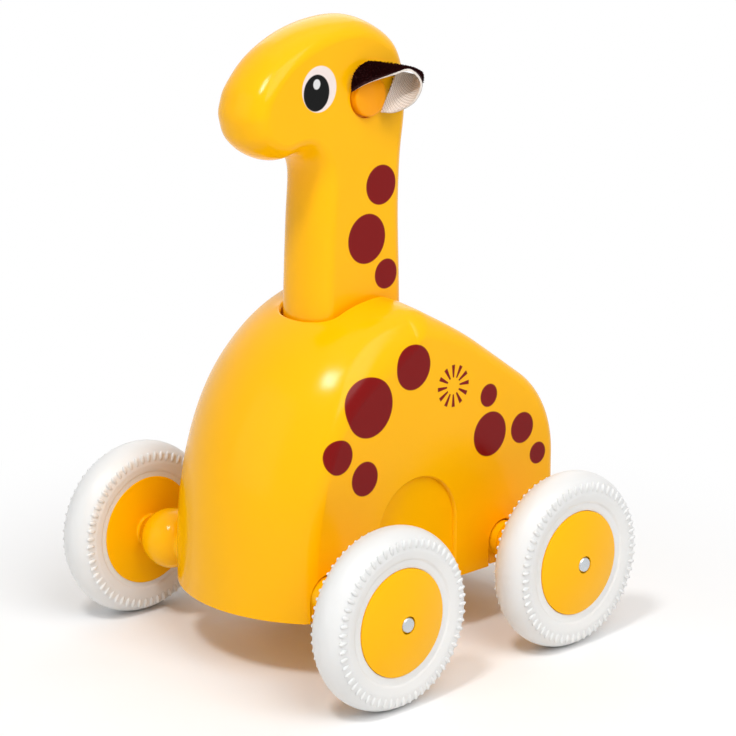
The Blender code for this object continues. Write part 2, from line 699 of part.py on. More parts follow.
def gear_layout():
    """Centres of the main gear, second gear, clutch pinion and rear axle in (x, z)."""
    main = (RACK_PITCH_X - 0.5 * RACK_MODULE * PINION_TEETH, base_top() + STROKE + MAIN_GEAR_RISE)
    reach = 0.5 * TRAIN_MODULE * (MAIN_TEETH + PINION_TEETH)
    second = (main[0] + reach * math.cos(SECOND_GEAR_ANGLE), main[1] + reach * math.sin(SECOND_GEAR_ANGLE))
    axle = (-0.5 * WHEELBASE, WHEEL_RADIUS)
    link = 0.5 * TRAIN_MODULE * (SECOND_TEETH + PINION_TEETH)
    away = 0.5 * TRAIN_MODULE * (AXLE_TEETH + PINION_TEETH) + 2.0 * ADDENDUM * TRAIN_MODULE + CLUTCH_GAP
    dx = axle[0] - second[0]
    dz = axle[1] - second[1]
    span = math.hypot(dx, dz)
    turn = math.acos((link * link + span * span - away * away) / (2.0 * link * span))
    a = math.atan2(dz, dx) - turn
    clutch = (second[0] + link * math.cos(a), second[1] + link * math.sin(a))
    return main, second, clutch, axle


def build_plunger():
    top = NECK_FOOT_Z - GAP
    low = top - FLANGE_THICKNESS
    main = gear_layout()[0]
    plunger = prism_z("plunger_rack", neck_outline(FLANGE_LIP), low, top)
    spigot = neck_outline(-HEAD_WALL - GAP - FIT)
    add(plunger, prism_z("spigot", spigot, top - JOIN, top + SPIGOT_HEIGHT))
    root = RACK_PITCH_X + DEDENDUM * RACK_MODULE
    bar = root + RACK_DEPTH
    y0, y1 = RACK_Y
    add(plunger, box("lug", root - GAP, -0.3 * NECK_HALF_LENGTH, y0 - JOIN, y1 + JOIN, low, top))
    pitch = math.pi * RACK_MODULE
    slope = math.tan(PRESSURE_ANGLE)
    count = int((STROKE + RACK_OVERRUN) / pitch)
    start = main[1] - 1.5 * pitch
    outline = [(bar, low + JOIN), (bar, start - 0.5 * pitch), (root, start - 0.5 * pitch)]
    for i in range(count):
        z = start + pitch * i
        broad = 0.25 * pitch - 0.25 * BACKLASH
        foot = broad + DEDENDUM * RACK_MODULE * slope
        crown = broad - ADDENDUM * RACK_MODULE * slope
        face = RACK_PITCH_X - ADDENDUM * RACK_MODULE
        outline += [(root, z - foot), (face, z - crown), (face, z + crown), (root, z + foot)]
    outline.append((root, low + JOIN))
    add(plunger, prism_y("rack", outline, y0, y1))
    bore = POST_RADIUS + POST_CLEARANCE
    high = top + SPIGOT_HEIGHT + PAST
    cut(plunger, rod_z("bore", NECK_CENTRE_X, 0.0, bore, low - PAST, high, 20))
    finish(plunger, PALE, 0.4, 0.0, (NECK_CENTRE_X, 0.0, NECK_FOOT_Z))


def build_spring():
    """Return spring round the guide post, one unbroken wire."""
    low = base_top() + GAP + SPRING_WIRE
    high = NECK_FOOT_Z - 2.0 * GAP - FLANGE_THICKNESS - SPRING_WIRE
    per_turn = 8
    total = SPRING_TURNS * per_turn
    rings = []
    for i in range(total + 1):
        a = 2.0 * math.pi * i / per_turn
        z = low + (high - low) * i / total
        ring = []
        for k in range(5):
            b = 2.0 * math.pi * k / 5
            r = SPRING_RADIUS + SPRING_WIRE * math.cos(b)
            ring.append((NECK_CENTRE_X + r * math.cos(a), r * math.sin(a), z + SPRING_WIRE * math.sin(b)))
        rings.append(ring)
    spring = stack_rings("return_spring", rings)
    print("return_spring least gap to itself mm", 1000.0 * ((high - low) / SPRING_TURNS - 2.0 * SPRING_WIRE))
    finish(spring, STEEL, 0.3, 1.0, (NECK_CENTRE_X, 0.0, base_top()), 80.0)


def build_gears():
    main, second, clutch, axle = gear_layout()
    to_second = math.atan2(second[1] - main[1], second[0] - main[0])
    to_clutch = math.atan2(clutch[1] - second[1], clutch[0] - second[0])
    y_in = PLATE_INNER_Y[1] + GAP
    y_out = PLATE_OUTER_Y[0] - GAP
    half_tooth = math.pi / PINION_TEETH

    teeth = gear_outline(*main, MAIN_TEETH, TRAIN_MODULE, to_second)
    gear = prism_y("main_gear", teeth, *MAIN_GEAR_Y)
    add(gear, rod_y("sleeve", *main, SHAFT_RADIUS + MAIN_SLEEVE_WALL, y_in, y_out, 14))
    teeth = gear_outline(*main, PINION_TEETH, RACK_MODULE, 0.0)
    add(gear, prism_y("pinion", teeth, RACK_Y[0] - GAP, RACK_Y[1] + GAP))
    cut(gear, rod_y("bore", *main, SHAFT_RADIUS + GAP, y_in - PAST, y_out + PAST, 14))
    finish(gear, WHITE, 0.4, 0.0, (main[0], 0.0, main[1]))

    teeth = gear_outline(*second, PINION_TEETH, TRAIN_MODULE, to_second + math.pi + half_tooth)
    gear = prism_y("second_gear", teeth, MAIN_GEAR_Y[0] - FIT, MAIN_GEAR_Y[1] + FIT)
    add(gear, rod_y("sleeve", *second, SHAFT_RADIUS + SECOND_SLEEVE_WALL, y_in, y_out, 14))
    teeth = gear_outline(*second, SECOND_TEETH, TRAIN_MODULE, to_clutch)
    add(gear, prism_y("wheel", teeth, FINAL_GEAR_Y[0] + FIT, FINAL_GEAR_Y[1] - FIT))
    cut(gear, rod_y("bore", *second, SHAFT_RADIUS + GAP, y_in - PAST, y_out + PAST, 14))
    finish(gear, WHITE, 0.4, 0.0, (second[0], 0.0, second[1]))

    teeth = gear_outline(*clutch, PINION_TEETH, TRAIN_MODULE, to_clutch + math.pi + half_tooth)
    gear = prism_y("clutch_pinion", teeth, *FINAL_GEAR_Y)
    cut(gear, rod_y("bore", *clutch, CLUTCH_PIN_RADIUS + FIT, 0.0, BODY_HALF_WIDTH, 14))
    finish(gear, WHITE, 0.4, 0.0, (clutch[0], 0.0, clutch[1]))
    ends = (PLATE_INNER_Y[0] + FIT, PLATE_OUTER_Y[1] - FIT)
    pin = rod_y("clutch_pin", *clutch, CLUTCH_PIN_RADIUS, *ends, 14)
    finish(pin, STEEL, 0.3, 1.0, (clutch[0], 0.0, clutch[1]))

    teeth = gear_outline(*axle, AXLE_TEETH, TRAIN_MODULE, 0.0)
    gear = prism_y("axle_gear", teeth, *FINAL_GEAR_Y)
    sleeve = AXLE_RADIUS + AXLE_SLEEVE_WALL
    add(gear, rod_y("sleeve", *axle, sleeve, RACK_Y[1], FINAL_GEAR_Y[0] + JOIN, 18))
    cut(gear, rod_y("bore", *axle, AXLE_RADIUS + FIT, 0.0, BODY_HALF_WIDTH, 18))
    finish(gear, WHITE, 0.4, 0.0, (axle[0], 0.0, axle[1]))

    for name, place in (("main_shaft", main), ("second_shaft", second)):
        shaft = rod_y(name, *place, SHAFT_RADIUS, *ends, 14)
        finish(shaft, STEEL, 0.3, 1.0, (place[0], 0.0, place[1]))


def build_plates():
    main, second, clutch, axle = gear_layout()
    low = base_top() + GAP
    ring = PLATE_MARGIN
    rear = axle[0] - 1.2 * ring
    outline = [(rear, low), (second[0] + ring, low), (second[0] + ring, second[1] + ring)]
    outline += [(main[0] + 0.8 * ring, main[1] + 0.4 * ring), (main[0] + 0.4 * ring, main[1] + 0.9 * ring)]
    outline += [(main[0] - 0.8 * ring, main[1] + 0.9 * ring), (rear, clutch[1] + ring)]
    swing = math.atan2(clutch[1] - second[1], clutch[0] - second[0]) + 0.5 * math.pi
    play = CLUTCH_PIN_RADIUS + GAP
    slot = []
    for end in (0.0, math.pi):
        for i in range(9):
            a = swing + end - 0.5 * math.pi + math.pi * i / 8
            mx = clutch[0] + CLUTCH_PLAY * math.cos(swing + end)
            mz = clutch[1] + CLUTCH_PLAY * math.sin(swing + end)
            slot.append((mx + play * math.cos(a), mz + play * math.sin(a)))
    for name, ends in (("gearbox_plate_inner", PLATE_INNER_Y), ("gearbox_plate_outer", PLATE_OUTER_Y)):
        plate = prism_y(name, outline, *ends)
        wide = (ends[0] - 0.25 * PAST, ends[1] + 0.25 * PAST)
        cut(plate, rod_y("hole", *main, SHAFT_RADIUS + GAP, *wide, 14))
        cut(plate, rod_y("hole", *second, SHAFT_RADIUS + GAP, *wide, 14))
        cut(plate, rod_y("hole", *axle, AXLE_RADIUS + 2.0 * GAP, *wide, 18))
        cut(plate, prism_y("slot", slot, *wide))
        finish(plate, PALE, 0.45)


clear_scene()
build_shell()
build_base()
build_wheels()
build_bushes()
build_head()
build_ears()
build_plunger()
build_spring()
build_gears()
build_plates()
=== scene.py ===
"""Press-and-go giraffe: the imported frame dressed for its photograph.

The sections follow the toy as it is put together, from the base plate up to the ears.
+X is forward, +Y is the toy's left, +Z is up, all in metres.
"""
import json
import math

import bmesh
import bpy
from mathutils import Matrix, Vector
from mathutils.bvhtree import BVHTree

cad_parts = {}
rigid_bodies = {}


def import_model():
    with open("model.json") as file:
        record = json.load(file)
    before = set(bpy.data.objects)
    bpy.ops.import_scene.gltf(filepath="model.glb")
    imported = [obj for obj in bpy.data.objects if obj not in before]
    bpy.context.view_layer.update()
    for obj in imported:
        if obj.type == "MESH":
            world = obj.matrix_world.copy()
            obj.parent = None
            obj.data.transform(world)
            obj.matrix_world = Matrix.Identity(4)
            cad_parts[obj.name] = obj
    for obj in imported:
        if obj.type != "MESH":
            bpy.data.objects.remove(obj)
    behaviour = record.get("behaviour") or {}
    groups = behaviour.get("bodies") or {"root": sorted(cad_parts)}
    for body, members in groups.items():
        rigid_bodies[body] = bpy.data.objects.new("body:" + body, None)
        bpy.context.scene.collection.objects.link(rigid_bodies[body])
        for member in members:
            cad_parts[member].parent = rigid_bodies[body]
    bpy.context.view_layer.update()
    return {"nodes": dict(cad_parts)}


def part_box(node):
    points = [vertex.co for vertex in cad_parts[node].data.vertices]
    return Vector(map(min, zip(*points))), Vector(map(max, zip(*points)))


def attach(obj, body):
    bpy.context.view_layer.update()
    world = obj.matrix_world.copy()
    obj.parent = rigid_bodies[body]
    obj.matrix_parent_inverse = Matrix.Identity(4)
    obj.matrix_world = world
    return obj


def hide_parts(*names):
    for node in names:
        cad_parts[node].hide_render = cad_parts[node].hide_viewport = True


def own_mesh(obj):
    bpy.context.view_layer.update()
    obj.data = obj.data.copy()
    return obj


for leftover in list(bpy.data.objects):
    bpy.data.objects.remove(leftover, do_unlink=True)
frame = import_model()
scene = bpy.context.scene
scene.view_settings.view_transform = "Standard"

# Camera
# The photograph's viewpoint: three quarters on the toy's front and left side, a little above it,
# through a long lens, so the four wheels keep nearly the same size.
CAMERA_PLACE = Vector((0.53606, 0.57179, 0.29837))
CAMERA_HEADING = math.radians(46.44)
CAMERA_TILT = math.radians(15.85)
LENS_MM = 143.83
SENSOR_MM = 36.0

camera_back = Vector((
    math.cos(CAMERA_TILT) * math.cos(CAMERA_HEADING),
    math.cos(CAMERA_TILT) * math.sin(CAMERA_HEADING),
    math.sin(CAMERA_TILT),
))
camera_right = Vector((-math.sin(CAMERA_HEADING), math.cos(CAMERA_HEADING), 0.0))
camera_up = camera_back.cross(camera_right)
camera_data = bpy.data.cameras.new("camera")
camera_data.lens = LENS_MM
camera_data.sensor_width = SENSOR_MM
camera_data.clip_start = 0.05
camera_data.clip_end = 50.0
camera = bpy.data.objects.new("camera", camera_data)
scene.collection.objects.link(camera)
turn = Matrix((camera_right, camera_up, camera_back)).transposed().to_4x4()
camera.matrix_world = Matrix.Translation(CAMERA_PLACE) @ turn
scene.camera = camera

# Base plate
# A flat yellow moulding that closes the shell from below and carries the post for the return spring.
# It is the mould's unpolished side, so it is less shiny than the shell, and four screws hold it.
BASE_YELLOW = (0.90, 0.42, 0.004, 1.0)
TONE_NOISE = (38.0, 3.0)
SHINE_NOISE = (120.0, 4.0)
PORE_NOISE = (620.0, 2.0)
PORE_DEPTH = 0.0002


def new_material(name):
    """A node material with its Principled shader and tree."""
    material = bpy.data.materials.new(name)
    material.use_nodes = True
    tree = material.node_tree
    return material, tree, tree.nodes["Principled BSDF"]


def feed(tree, socket, value):
    """Set a socket to a value, or join it to a socket, a node's first output or a list of sockets."""
    if isinstance(value, bpy.types.Node):
        value = value.outputs[0]
    if isinstance(value, bpy.types.NodeSocket):
        tree.links.new(value, socket)
    elif isinstance(value, list):
        for one in value:
            feed(tree, socket, one)
    else:
        socket.default_value = value


def wire(tree, made, feeds):
    """Feed a node's inputs, by name or number."""
    for label, value in feeds.items():
        feed(tree, made.inputs[label], value)


def node(tree, kind, feeds=None, **settings):
    """A new node with its settings and feeds."""
    made = tree.nodes.new(kind)
    for label, value in settings.items():
        setattr(made, label, value)
    wire(tree, made, feeds or {})
    return made


def socket_tree(name, kind, inputs, outputs):
    """A node tree whose sockets are given as name: what it carries; with its inputs and its end node."""
    tree = bpy.data.node_groups.new(name, kind)
    for way, sockets in (("INPUT", inputs), ("OUTPUT", outputs)):
        for label, carries in sockets.items():
            tree.interface.new_socket(label, in_out=way, socket_type="NodeSocket" + carries)
    return tree, tree.nodes.new("NodeGroupInput").outputs, tree.nodes.new("NodeGroupOutput")


def noise(tree, point, scale, detail):
    """A noise texture's value at a point."""
    feeds = {"Vector": point, "Scale": scale, "Detail": detail}
    return node(tree, "ShaderNodeTexNoise", feeds).outputs["Fac"]


def spread(tree, value, low, high, from_low=0.3, from_high=0.7):
    """Map a value, such as a noise, to a range; low and high are numbers or sockets."""
    feeds = {"Value": value, "From Min": from_low, "From Max": from_high, "To Min": low, "To Max": high}
    return node(tree, "ShaderNodeMapRange", feeds).outputs["Result"]


def tinted(tree, colour, factor):
    """A colour multiplied by a grey factor."""
    feeds = {0: colour, "Scale": factor}
    return node(tree, "ShaderNodeVectorMath", feeds, operation="SCALE").outputs["Vector"]


skin, skin_in, skin_out = socket_tree(
    "moulded_skin", "ShaderNodeTree",
    {"Point": "Vector", "Colour": "Color", "Dark Tone": "Float",
     "Low Roughness": "Float", "High Roughness": "Float"},
    {"Colour": "Color", "Roughness": "Float", "Height": "Float"},
)
looks = (TONE_NOISE, SHINE_NOISE, PORE_NOISE)
clouds, grain, pores = (noise(skin, skin_in["Point"], *look) for look in looks)
skin_tone = spread(skin, clouds, skin_in["Dark Tone"], 1.0)
skin_rough = spread(skin, grain, skin_in["Low Roughness"], skin_in["High Roughness"])
skin_colour = tinted(skin, skin_in["Colour"], skin_tone)
wire(skin, skin_out, {"Colour": skin_colour, "Roughness": skin_rough, "Height": pores})


def skinned(tree, shader, colour, dark_tone, low, high, bump):
    """Join the moulded skin to a shader; colour is a value or a socket."""
    coords = node(tree, "ShaderNodeTexCoord")
    group = node(tree, "ShaderNodeGroup", {
        "Point": coords.outputs["Object"], "Colour": colour,
        "Dark Tone": dark_tone, "Low Roughness": low, "High Roughness": high,
    }, node_tree=skin)
    relief = {"Strength": bump, "Distance": PORE_DEPTH, "Height": group.outputs["Height"]}
    wire(tree, shader, {
        "Base Color": group.outputs["Colour"], "Roughness": group.outputs["Roughness"],
        "Normal": node(tree, "ShaderNodeBump", relief),
    })


def plastic(name, colour, dark_tone, low, high, bump):
    """A moulded plastic: how dark its clouds go, its roughness from low to high, and its relief."""
    material, tree, shader = new_material(name)
    skinned(tree, shader, colour, dark_tone, low, high, bump)
    return material


def dress(material, *names):
    """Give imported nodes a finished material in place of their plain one."""
    for name in names:
        for holder in frame["nodes"][name].material_slots:
            holder.material = material


dress(plastic("base_moulding", BASE_YELLOW, 0.90, 0.34, 0.46, 0.20), "base_plate")

# Base screws, gear shafts, clutch pin and return spring
# Plain zinc-plated steel bought in: pan-head screws, straight pins cut from drawn wire, and one
# compression spring wound on a mandrel. The plating dulls unevenly.
STEEL = (0.62, 0.65, 0.68, 1.0)
SPRING_STEEL = (0.52, 0.54, 0.57, 1.0)
SPRING_TURNS = 10
SPRING_RADIUS = 0.0047
SPRING_WIRE_RADIUS = 0.00055
TURN_STEPS = 40
WIRE_STEPS = 12


def plated(name, colour, low, high):
    """Plated steel of a colour, with its roughness from low to high."""
    material, tree, shader = new_material(name)
    wire(tree, shader, {"Metallic": 1.0})
    skinned(tree, shader, colour, 0.86, low, high, 0.08)
    return material


zinc = plated("zinc_plate", STEEL, 0.24, 0.40)
dress(zinc, "base_screw_front_left", "base_screw_front_right", "base_screw_rear_left",
      "base_screw_rear_right", "main_shaft", "second_shaft", "clutch_pin")


def growth_tree(name, inputs):
    """A geometry tree that takes a piece, named inputs and a material."""
    inputs = {"Geometry": "Geometry", **inputs, "Material": "Material"}
    return socket_tree(name, "GeometryNodeTree", inputs, {"Geometry": "Geometry"})


def close_growth(tree, given, end, geometry):
    """The last steps of a geometry tree: real instances, then the material."""
    real = node(tree, "GeometryNodeRealizeInstances", {"Geometry": geometry})
    painted = node(tree, "GeometryNodeSetMaterial", {"Geometry": real, "Material": given["Material"]})
    wire(tree, end, {"Geometry": painted})


def applied(ob):
    """Keep what a piece's modifiers make as its plain mesh."""
    graph = bpy.context.evaluated_depsgraph_get()
    mesh = bpy.data.meshes.new_from_object(ob.evaluated_get(graph))
    ob.modifiers.clear()
    ob.data = mesh


def grown(ob, tree, values):
    """Run a geometry tree on a piece, with its inputs set by name."""
    mod = ob.modifiers.new("grown", "NODES")
    mod.node_group = tree
    for item in tree.interface.items_tree:
        if item.in_out == "INPUT" and item.name in values:
            mod[item.identifier] = values[item.name]
    applied(ob)


coil_tree, coil_in, coil_out = growth_tree("spring_winding", {
    "Turns": "Float", "Radius": "Float", "Wire Radius": "Float", "Height": "Float", "Foot": "Vector",
})
coil = node(coil_tree, "GeometryNodeCurveSpiral", {
    "Resolution": TURN_STEPS, "Rotations": coil_in["Turns"], "Height": coil_in["Height"],
    "Start Radius": coil_in["Radius"], "End Radius": coil_in["Radius"],
})
wire_ring = node(coil_tree, "GeometryNodeCurvePrimitiveCircle",
                 {"Resolution": WIRE_STEPS, "Radius": coil_in["Wire Radius"]})
wound = node(coil_tree, "GeometryNodeCurveToMesh",
             {"Curve": coil, "Profile Curve": wire_ring, "Fill Caps": True})
stood = node(coil_tree, "GeometryNodeTransform", {"Geometry": wound, "Translation": coil_in["Foot"]})
smooth = node(coil_tree, "GeometryNodeSetShadeSmooth", {"Geometry": stood})
close_growth(coil_tree, coil_in, coil_out, smooth)

spring_low, spring_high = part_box("return_spring")
spring_x = 0.5 * (spring_low[0] + spring_high[0])
spring = bpy.data.objects.new("press_spring", bpy.data.meshes.new("press_spring"))
scene.collection.objects.link(spring)
grown(spring, coil_tree, {
    "Turns": float(SPRING_TURNS),
    "Radius": SPRING_RADIUS,
    "Wire Radius": SPRING_WIRE_RADIUS,
    "Height": spring_high[2] - spring_low[2] - 2.0 * SPRING_WIRE_RADIUS,
    "Foot": (spring_x, 0.0, spring_low[2] + SPRING_WIRE_RADIUS),
    "Material": plated("spring_steel", SPRING_STEEL, 0.28, 0.42),
})
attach(spring, "body")
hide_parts("return_spring")
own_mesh(spring)

# Gears, gearbox plates and plunger
# Unpainted engineering plastic: slippery off-white for the rack and gears, a greyer grade for the two
# plates that hold the shafts. Nobody sees them, so the mould marks stay.
GEAR_WHITE = (0.78, 0.76, 0.70, 1.0)
PLATE_GREY = (0.46, 0.47, 0.48, 1.0)

dress(plastic("gear_plastic", GEAR_WHITE, 0.90, 0.30, 0.42, 0.15),
      "main_gear", "second_gear", "clutch_pinion", "axle_gear", "plunger_rack")
dress(plastic("plate_plastic", PLATE_GREY, 0.88, 0.40, 0.52, 0.25),
      "gearbox_plate_inner", "gearbox_plate_outer")

# Axles
# Two straight steel pins pressed through the hubs; only their cropped, lightly crowned ends show,
# in the middle of each wheel, with a thin dark gap around them.
WHEEL_RADIUS = 0.0250
AXLE_X = 0.0339
AXLE_RADIUS = 0.00225
AXLE_END_Y = 0.0595
AXLE_CROWN = 0.0004
AXLE_EDGE = 0.0004
AXLE_STEEL = (0.66, 0.70, 0.73, 1.0)
ENDS = (("front", AXLE_X), ("rear", -AXLE_X))
SIDES = (("left", 1.0), ("right", -1.0))
WHEELS = [(tag, x, word, side) for tag, x in ENDS for word, side in SIDES]


def finished(name, verts, faces, material, sharp=40.0):
    """A smooth-shaded mesh piece at the origin, merged and facing out."""
    mesh = bpy.data.meshes.new(name)
    mesh.from_pydata([tuple(v) for v in verts], [], faces)
    bm = bmesh.new()
    bm.from_mesh(mesh)
    bmesh.ops.remove_doubles(bm, verts=bm.verts, dist=1e-6)
    bmesh.ops.recalc_face_normals(bm, faces=bm.faces)
    bm.to_mesh(mesh)
    bm.free()
    mesh.shade_smooth()
    mesh.set_sharp_from_angle(angle=math.radians(sharp))
    ob = bpy.data.objects.new(name, mesh)
    scene.collection.objects.link(ob)
    if material is not None:
        mesh.materials.append(material)
    return ob


def turned(name, profile, x, z, count, closed, material, sharp=40.0):
    """Turn (radius, y) points about the axle line at (x, z)."""
    size = len(profile)
    verts = []
    for i in range(count):
        a = 2.0 * math.pi * i / count
        verts += [(x + r * math.cos(a), y, z + r * math.sin(a)) for r, y in profile]
    faces = []
    for i in range(count):
        a = i * size
        b = ((i + 1) % count) * size
        for j in range(size if closed else size - 1):
            k = (j + 1) % size
            face = [a + j, a + k, b + k, b + j]
            if profile[j][0] == 0.0:
                face.remove(b + j)
            if profile[k][0] == 0.0:
                face.remove(b + k)
            if len(face) > 2:
                faces.append(face)
    return finished(name, verts, faces, material, sharp)


def eased(points, radius, steps, closed=False):
    """Round every corner of a polyline."""
    count = len(points)
    out = []
    for i, p in enumerate(points):
        if not closed and i in (0, count - 1):
            out.append(p)
            continue
        here = Vector(p)
        before = Vector(points[i - 1]) - here
        after = Vector(points[(i + 1) % count]) - here
        start = here + before.normalized() * min(radius, 0.48 * before.length)
        stop = here + after.normalized() * min(radius, 0.48 * after.length)
        for k in range(steps + 1):
            t = k / steps
            out.append(tuple((1 - t) ** 2 * start + 2 * t * (1 - t) * here + t * t * stop))
    return out


bright = plated("axle_steel", AXLE_STEEL, 0.20, 0.36)
for tag, x in ENDS:
    half = [(0.0, AXLE_END_Y)]
    for i in range(1, 6):
        r = (AXLE_RADIUS - AXLE_EDGE) * i / 5
        half.append((r, AXLE_END_Y - AXLE_CROWN * (r / AXLE_RADIUS) ** 2))
    half.append((AXLE_RADIUS, AXLE_END_Y - AXLE_CROWN - AXLE_EDGE))
    profile = half + [(r, -y) for r, y in reversed(half)]
    axle = turned("axle_pin_" + tag, profile, x, WHEEL_RADIUS, 48, False, bright, 30.0)
    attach(axle, tag + "_axle")
    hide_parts("axle_" + tag)

# Axle bushes
# Four yellow balls between body and wheels, each moulded in one with a stem and a flat tongue that
# pushes up into a slot in the shell's flank, where the base plate traps it.
BODY_HALF_WIDTH = 0.0280
BODY_BOTTOM_Z = 0.0180
BALL_RADIUS = 0.0085
STEM_RADIUS = 0.0052
STEM_INNER_Y = 0.0232
FIT_GAP = 0.0003
TONGUE_RECESS = 0.0006
TONGUE_EDGE = 0.0006
TONGUE_SHARE = 0.99
BORE_START_Y = 0.0200
BORE_STOP_Y = 0.0300
TOY_YELLOW = (1.0, 0.49, 0.001, 1.0)
GLOSS_LEVEL = 0.15


def carve(ob, tool, operation="DIFFERENCE"):
    """One exact boolean, applied; the tool is used up."""
    mod = ob.modifiers.new("carve", "BOOLEAN")
    mod.operation = operation
    mod.solver = "EXACT"
    mod.object = tool
    applied(ob)
    bpy.data.objects.remove(tool, do_unlink=True)


def coat(ob, material):
    """Give a piece one material, whatever its cuts left."""
    ob.data.materials.clear()
    ob.data.materials.append(material)


def stacked(name, rings):
    """A closed body from equal rings of points."""
    verts = [p for ring in rings for p in ring]
    count = len(rings[0])
    faces = [tuple(range(count)), tuple(range(len(verts) - count, len(verts)))]
    for i in range(len(rings) - 1):
        for j in range(count):
            a = i * count + j
            b = i * count + (j + 1) % count
            faces.append((a, b, b + count, a + count))
    return finished(name, verts, faces, None)


def glossed(tree, shader, colour):
    """The polished outside of the yellow mouldings; colour is a value or a socket."""
    skinned(tree, shader, colour, dark_tone=0.975, low=0.13, high=0.18, bump=0.02)
    wire(tree, shader, {"Specular IOR Level": GLOSS_LEVEL})


gloss_yellow, tree, shader = new_material("glossy_yellow")
glossed(tree, shader, TOY_YELLOW)
for tag, x, word, side in WHEELS:
    centre = BODY_HALF_WIDTH + FIT_GAP + BALL_RADIUS
    start = math.asin(STEM_RADIUS / BALL_RADIUS)
    stop = math.pi - math.asin((AXLE_RADIUS + FIT_GAP) / BALL_RADIUS)
    profile = [(AXLE_RADIUS + FIT_GAP, STEM_INNER_Y), (STEM_RADIUS, STEM_INNER_Y)]
    for i in range(33):
        a = start + (stop - start) * i / 32
        profile.append((BALL_RADIUS * math.sin(a), centre - BALL_RADIUS * math.cos(a)))
    profile = [(r, side * y) for r, y in profile]
    bush = turned("ball_bush_" + tag + "_" + word, profile, x, WHEEL_RADIUS, 56, True, gloss_yellow, 50.0)
    wide = TONGUE_SHARE * STEM_RADIUS
    tongue = [(x - wide, BODY_BOTTOM_Z + FIT_GAP), (x + wide, BODY_BOTTOM_Z + FIT_GAP),
              (x + wide, WHEEL_RADIUS), (x - wide, WHEEL_RADIUS)]
    tongue = eased(tongue, TONGUE_EDGE, 3, True)
    ends = (side * STEM_INNER_Y, side * (BODY_HALF_WIDTH - TONGUE_RECESS))
    block = stacked("tongue", [[(u, y, v) for u, v in tongue] for y in ends])
    bore_ends = ((0.0, BORE_START_Y), (AXLE_RADIUS + FIT_GAP, BORE_START_Y),
                 (AXLE_RADIUS + FIT_GAP, BORE_STOP_Y), (0.0, BORE_STOP_Y))
    bore = [(r, side * y) for r, y in bore_ends]
    carve(block, turned("bore", bore, x, WHEEL_RADIUS, 56, False, None))
    carve(bush, block, "UNION")
    coat(bush, gloss_yellow)
    bush.data.set_sharp_from_angle(angle=math.radians(40.0))
    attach(bush, "body")
    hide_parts("axle_bush_" + tag + "_" + word)

# Body shell
# The big hollow moulding: domed front, flat flanks, a straight back running down to a round rump.
# The neck slides in a flat-sided hole with a rounded lip; each flank has a shallow arch between the wheels.
FRONT_X = 0.0500
REAR_X = 0.0554
DOME_BASE_Z = 0.0249
DOME_POWER = 2.15
CREST = (0.0005, 0.0988)
CREST_RADIUS = 0.0137
BACK_SLOPE = math.radians(35.3)
RUMP_RADIUS = 0.0310
FRONT_PLAN_RADIUS = 0.0420
FRONT_FILLET = 0.0022
BACK_FILLET = 0.0038
CREST_FILLET = 0.0055
CREST_FILLET_X = 0.0082
CREST_FILLET_REACH = 0.0200
BLEND_FRONT_X = 0.0300
BLEND_REAR_X = -0.0245
SHELL_WALL = 0.0030
NECK_X = 0.0024
HOLE_HALF_LENGTH = 0.0176
HOLE_HALF_WIDTH = 0.0105
HOLE_EDGE_ROUND = 0.0066
HOLE_LIP = 0.0009
COLLAR_WALL = 0.0022
NECK_FOOT_Z = 0.0815
ARCH_RADIUS = 0.0145
ARCH_SPRING_Z = 0.0356
ARCH_DEPTH = 0.0012
ARCH_LIP = 0.0007
SLOT_LIP = 0.0005
SLOT_DEPTH = 0.0060
LIP_FLARE = 0.16
CUT_OVERRUN = 0.0040
COLLAR_TOP_Z = 0.1100
HOLE_CUT_TOP_Z = 0.1150
ABOVE_TOY_Z = 0.2000
LEAST_FILLET = 0.0010
FLANK_PRINT_Y = 0.0200
SPOT_RED = (0.205, 0.0015, 0.0015, 1.0)
PRINT_EDGE = 0.00012


def ease(t):
    """A soft step from 0 to 1."""
    t = min(max(t, 0.0), 1.0)
    return t * t * (3.0 - 2.0 * t)


def shell_profile(steps):
    """The body's outline on its middle plane, from the front foot over the crest to the rear foot."""
    cx, cz = CREST
    points = [(FRONT_X, BODY_BOTTOM_Z)]
    for i in range(steps + 1):
        a = 0.5 * math.pi * i / steps
        x = cx + (FRONT_X - cx) * max(math.cos(a), 0.0) ** (2.0 / DOME_POWER)
        points.append((x, DOME_BASE_Z + (cz - DOME_BASE_Z) * math.sin(a) ** (2.0 / DOME_POWER)))
    arc = max(steps // 4, 3)
    for i in range(1, arc + 1):
        a = BACK_SLOPE * i / arc
        points.append((cx - CREST_RADIUS * math.sin(a), cz - CREST_RADIUS * (1.0 - math.cos(a))))
    x0, z0 = points[-1]
    rx = RUMP_RADIUS - REAR_X
    rz = z0 + (math.sin(BACK_SLOPE) * (rx - x0) - RUMP_RADIUS) / math.cos(BACK_SLOPE)
    start = 0.5 * math.pi + BACK_SLOPE
    x1 = rx + RUMP_RADIUS * math.cos(start)
    z1 = rz + RUMP_RADIUS * math.sin(start)
    for i in range(1, arc + 1):
        points.append((x0 + (x1 - x0) * i / arc, z0 + (z1 - z0) * i / arc))
    for i in range(1, 2 * arc + 1):
        a = start + (math.pi - start) * i / (2 * arc)
        points.append((rx + RUMP_RADIUS * math.cos(a), rz + RUMP_RADIUS * math.sin(a)))
    return points + [(-REAR_X, BODY_BOTTOM_Z)]


